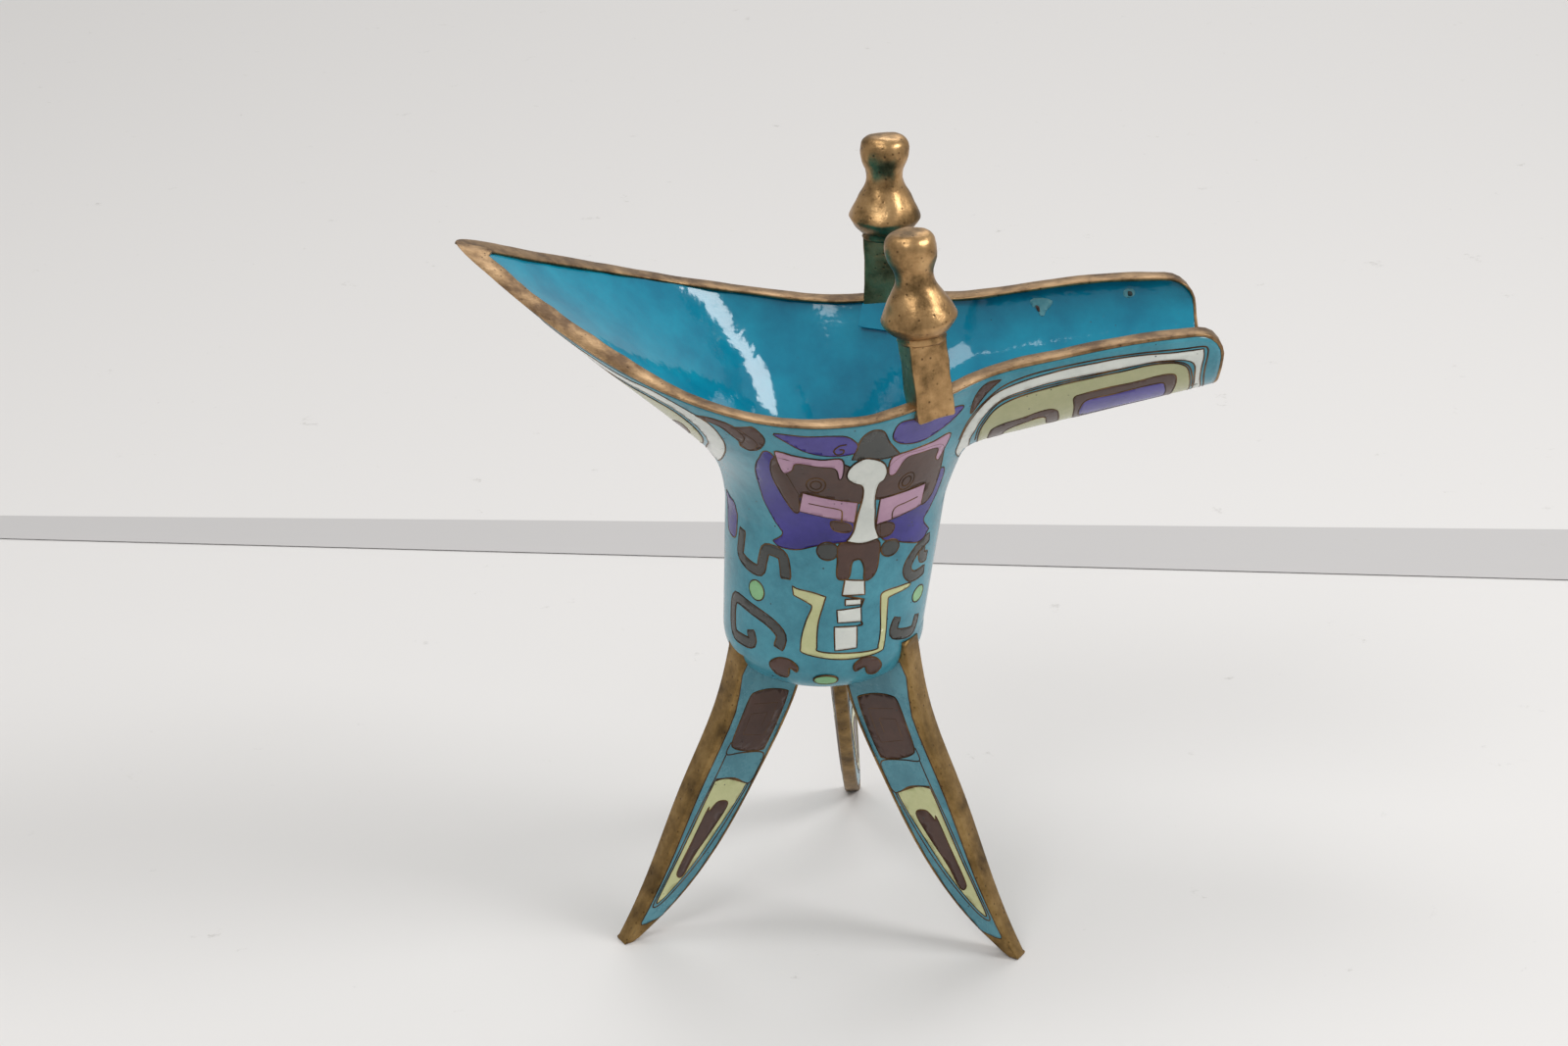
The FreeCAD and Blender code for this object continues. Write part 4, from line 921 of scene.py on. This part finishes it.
# two old chips in the lining on the far side of the spout
CHIPS = [
    ("chip", 1, [(44.9, 126.2), (46, 126.9), (48, 126.8), (49.5, 126.2), (49.1, 125), (48.2, 124), (47.7, 122.9),
     (46.9, 123.1), (46.4, 124.3), (45.4, 125)]),
    ("brown", 2, [(46, 125.2), (46.7, 125), (46.9, 123.9), (46.4, 124)]),
    ("chip", 1, [(64.1, 128.3), (65, 129), (66.2, 128.7), (66.4, 127.6), (65.3, 126.8), (64.2, 127.2)]),
    ("grey", 2, [(65, 128.3), (65.8, 128.2), (65.9, 127.4), (65.1, 127.3)]),
]
for colour, layer, points in CHIPS:
    fill(colour, side_down(rounded(points)), far_lining, SIDE_CELL, layer, fence=False, both=False)
gather("side", "cloisonne_enamel")

# %% [markdown]
# ## Enamel on the legs
# Each side of a leg has a bed with a grey turquoise ground, a brown tablet with a squared spiral, and a pale leaf
# with a brown heart that runs down to the toe. The chart is millimetres in from the outer edge, and height.
# %% Leg outlines
inner_edge = [(float(through(1, np.array([h]))[0] - through(2, np.array([h]))[0]) - 0.9, h)
              for h in (4.6, 6, 8, 11, 15, 20, 25, 30, 35, 40, 45, 50, 55, 61.5)]
GROUND = [(1.9, 61.5), (1.9, 50), (1.7, 40), (1.7, 30), (1.6, 20), (1.3, 12), (1.2, 7), (1.6, 4.2)] + inner_edge
LEAVES = [
    ("brown", 2, [(4.6, 52.4), (6, 53.3), (10, 52.8), (14.4, 51.2), (15, 50), (15.1, 45), (14.9, 39.4), (14.2, 38.6),
     (10, 39.5), (6, 41.2), (4.5, 43), (4.2, 48)]),
    ("yellow", 2, [(4.7, 34.6, 2), (8, 34.2), (14.2, 31.4, 2), (13.4, 28), (11, 22), (8.5, 16), (5.5, 11), (3.2, 8.6),
     (2.5, 9.6), (2.8, 15), (3.4, 20), (4.1, 27)]),
    ("brown", 3, [(6, 28.4), (6.6, 27.6), (8.2, 29.2), (11.2, 27.8), (9.8, 23), (7.6, 18), (6.6, 13.4), (4.9, 14),
     (4.5, 16), (5.2, 22)]),
]
RUNS = [
    [(4.2, 43), (4.5, 40.3), (9, 39.4), (15.2, 37.6), (15.8, 34), (14.8, 31.2), (10, 33.7), (4.6, 35.0)],
    [(4.4, 40.3), (4.3, 35.2), (3.4, 27), (2.5, 18), (1.9, 10.6), (2.3, 7.8), (4.8, 8.7), (8.9, 14.6), (12.2, 21.9),
     (14.4, 29), (14.8, 31.2)],
    [(6.3, 50.6, 2), (13, 49, 2), (13, 42, 2), (6.6, 44, 2), (6.5, 48.4, 2), (11, 47.4, 2), (11, 44.6)],
]


def leg_chart(side, azimuth):
    # the chart of one side of a leg
    def chart(q):
        u, h = q.T
        p = leg_face(u, h, side, azimuth)
        n = np.cross(leg_face(u + .1, h, side, azimuth) - p, leg_face(u, h + .1, side, azimuth) - p)
        n *= np.sign(((p - leg_face(u, h, -side, azimuth)) * n).sum(1, keepdims=True))
        return under_dome(p), unit(n)
    return chart


for name, azimuth in AZIMUTHS.items():
    for side, label in ((-1, "front"), (1, "rear")):
        chart = leg_chart(side, azimuth)
        fill("bed", rounded(GROUND, per=3), chart, (1.5, 1.5), 0, both=False)
        thicken(piece("leg_%s_%s_ground" % (name, label), joined(cells.pop("bed")), BED, "cloisonne_enamel",
                      "leg_%s_%s_enamel" % (name, label), turn_out=False), BED_DEPTH)
        for colour, layer, points in LEAVES:
            fill(colour, rounded(points), chart, (2.5, 2.5), layer, both=False)
        for points in RUNS:
            wire(rounded(points, False), chart, both=False)
gather("legs", "cloisonne_enamel")

# %% [markdown]
# ## Camera, floor and light
# The camera stands where the photograph was taken from, 0.7 m away and 23 degrees above. The floor is white paper,
# with a grey strip behind the cup that is painted shade, for the shadow where the floor paper meets a backdrop. Soft
# lamps from the left, the right and above give the broad reflections in the lining, and a far lamp keeps the paper
# behind the cup bright.
# %% Camera
target = Vector((-8.63, 0, 87.33)) * MM
az, el, dist, roll = np.radians(3.73), np.radians(23.44), 0.70009, np.radians(-1.0)
back = Vector((-np.sin(az) * np.cos(el), -np.cos(az) * np.cos(el), np.sin(el)))
right = (-back).cross(Vector((0, 0, 1))).normalized()
top = right.cross(-back)
right, top = right * np.cos(roll) + top * np.sin(roll), top * np.cos(roll) - right * np.sin(roll)
camera = put("camera", bpy.data.cameras.new("camera"))
FOCAL_PIXELS, PHOTO_WIDE, FILM = 3466.7, 1600, 36
camera.data.lens, camera.data.sensor_width = FILM * FOCAL_PIXELS / PHOTO_WIDE, FILM
camera.matrix_world = Matrix.Translation(target + back * dist) @ Matrix((right, top, back)).transposed().to_4x4()
scene.camera = camera

# %% Floor and lamps


def paper(name, code):
    # matt paper with a few grey specks of dust
    m = fresh(name)
    place = node(m, "TexCoord")
    specks = node(m, "TexNoise", {"Scale": 60.0, "Detail": 8.0, "Roughness": 0.75},
                  [("Vector", place, "Object")])
    stops = [(0.27, linear("#b9b6b2")), (0.36, linear(code)), (1.0, linear(code))]
    shade = node(m, "ValToRGB", {"stops": stops}, [(0, specks, "Fac")])
    shader = node(m, "BsdfPrincipled", {"Roughness": 0.6}, [("Base Color", shade, "Color")])
    node(m, "OutputMaterial", links=[("Surface", shader, "BSDF")])
    return m


def slab(name, corners, material):
    # one flat sheet of the stage
    bm = bmesh.new()
    bm.faces.new([bm.verts.new(Vector(c)) for c in corners])
    made = put(name, mesh_of(name, bm))
    made.data.materials.append(material)


slab("floor", [(-3, -3, 0), (3, -3, 0), (3, 3, 0), (-3, 3, 0)], paper("white floor paper", "#e2e0df"))
# painted shade: a grey strip on the floor for the shadow where the floor paper meets the backdrop
slab("gap", [(-0.5, 0.264, 0.0003), (0.5, 0.090, 0.0003), (0.5, 0.1353, 0.0003), (-0.5, 0.2672, 0.0003)],
     paper("painted shade strip", "#c4c2c2"))


def lamp(name, place, aim, size, power):
    # a soft lamp: metres and watts
    made = put(name, bpy.data.lights.new(name, "AREA"))
    made.data.energy, made.data.shape, made.data.size, made.data.size_y = power, "RECTANGLE", size[0], size[1]
    made.location = place
    made.rotation_euler = (Vector(place) - Vector(aim)).to_track_quat("Z", "Y").to_euler()


lamp("key", (-0.45, -0.55, 0.95), (0, 0, 0.08), (0.5, 0.35), 2.6)
lamp("side", (0.75, -0.2, 0.75), (0, 0, 0.08), (0.35, 0.35), 4.0)
lamp("far", (0.35, 1.25, 1.1), (0.25, 1.1, 0), (0.9, 0.5), 5.0)
lamp("window", (-0.25, 0.1, 0.9), (0, 0, 0.1), (0.25, 0.45), 1.6)
world = bpy.data.worlds.new("soft room")
scene.world = world
world.use_nodes = True
world.node_tree.nodes["Background"].inputs["Color"].default_value = linear("#f6f5f2")
world.node_tree.nodes["Background"].inputs["Strength"].default_value = 0.52
scene.view_settings.view_transform = "Standard"
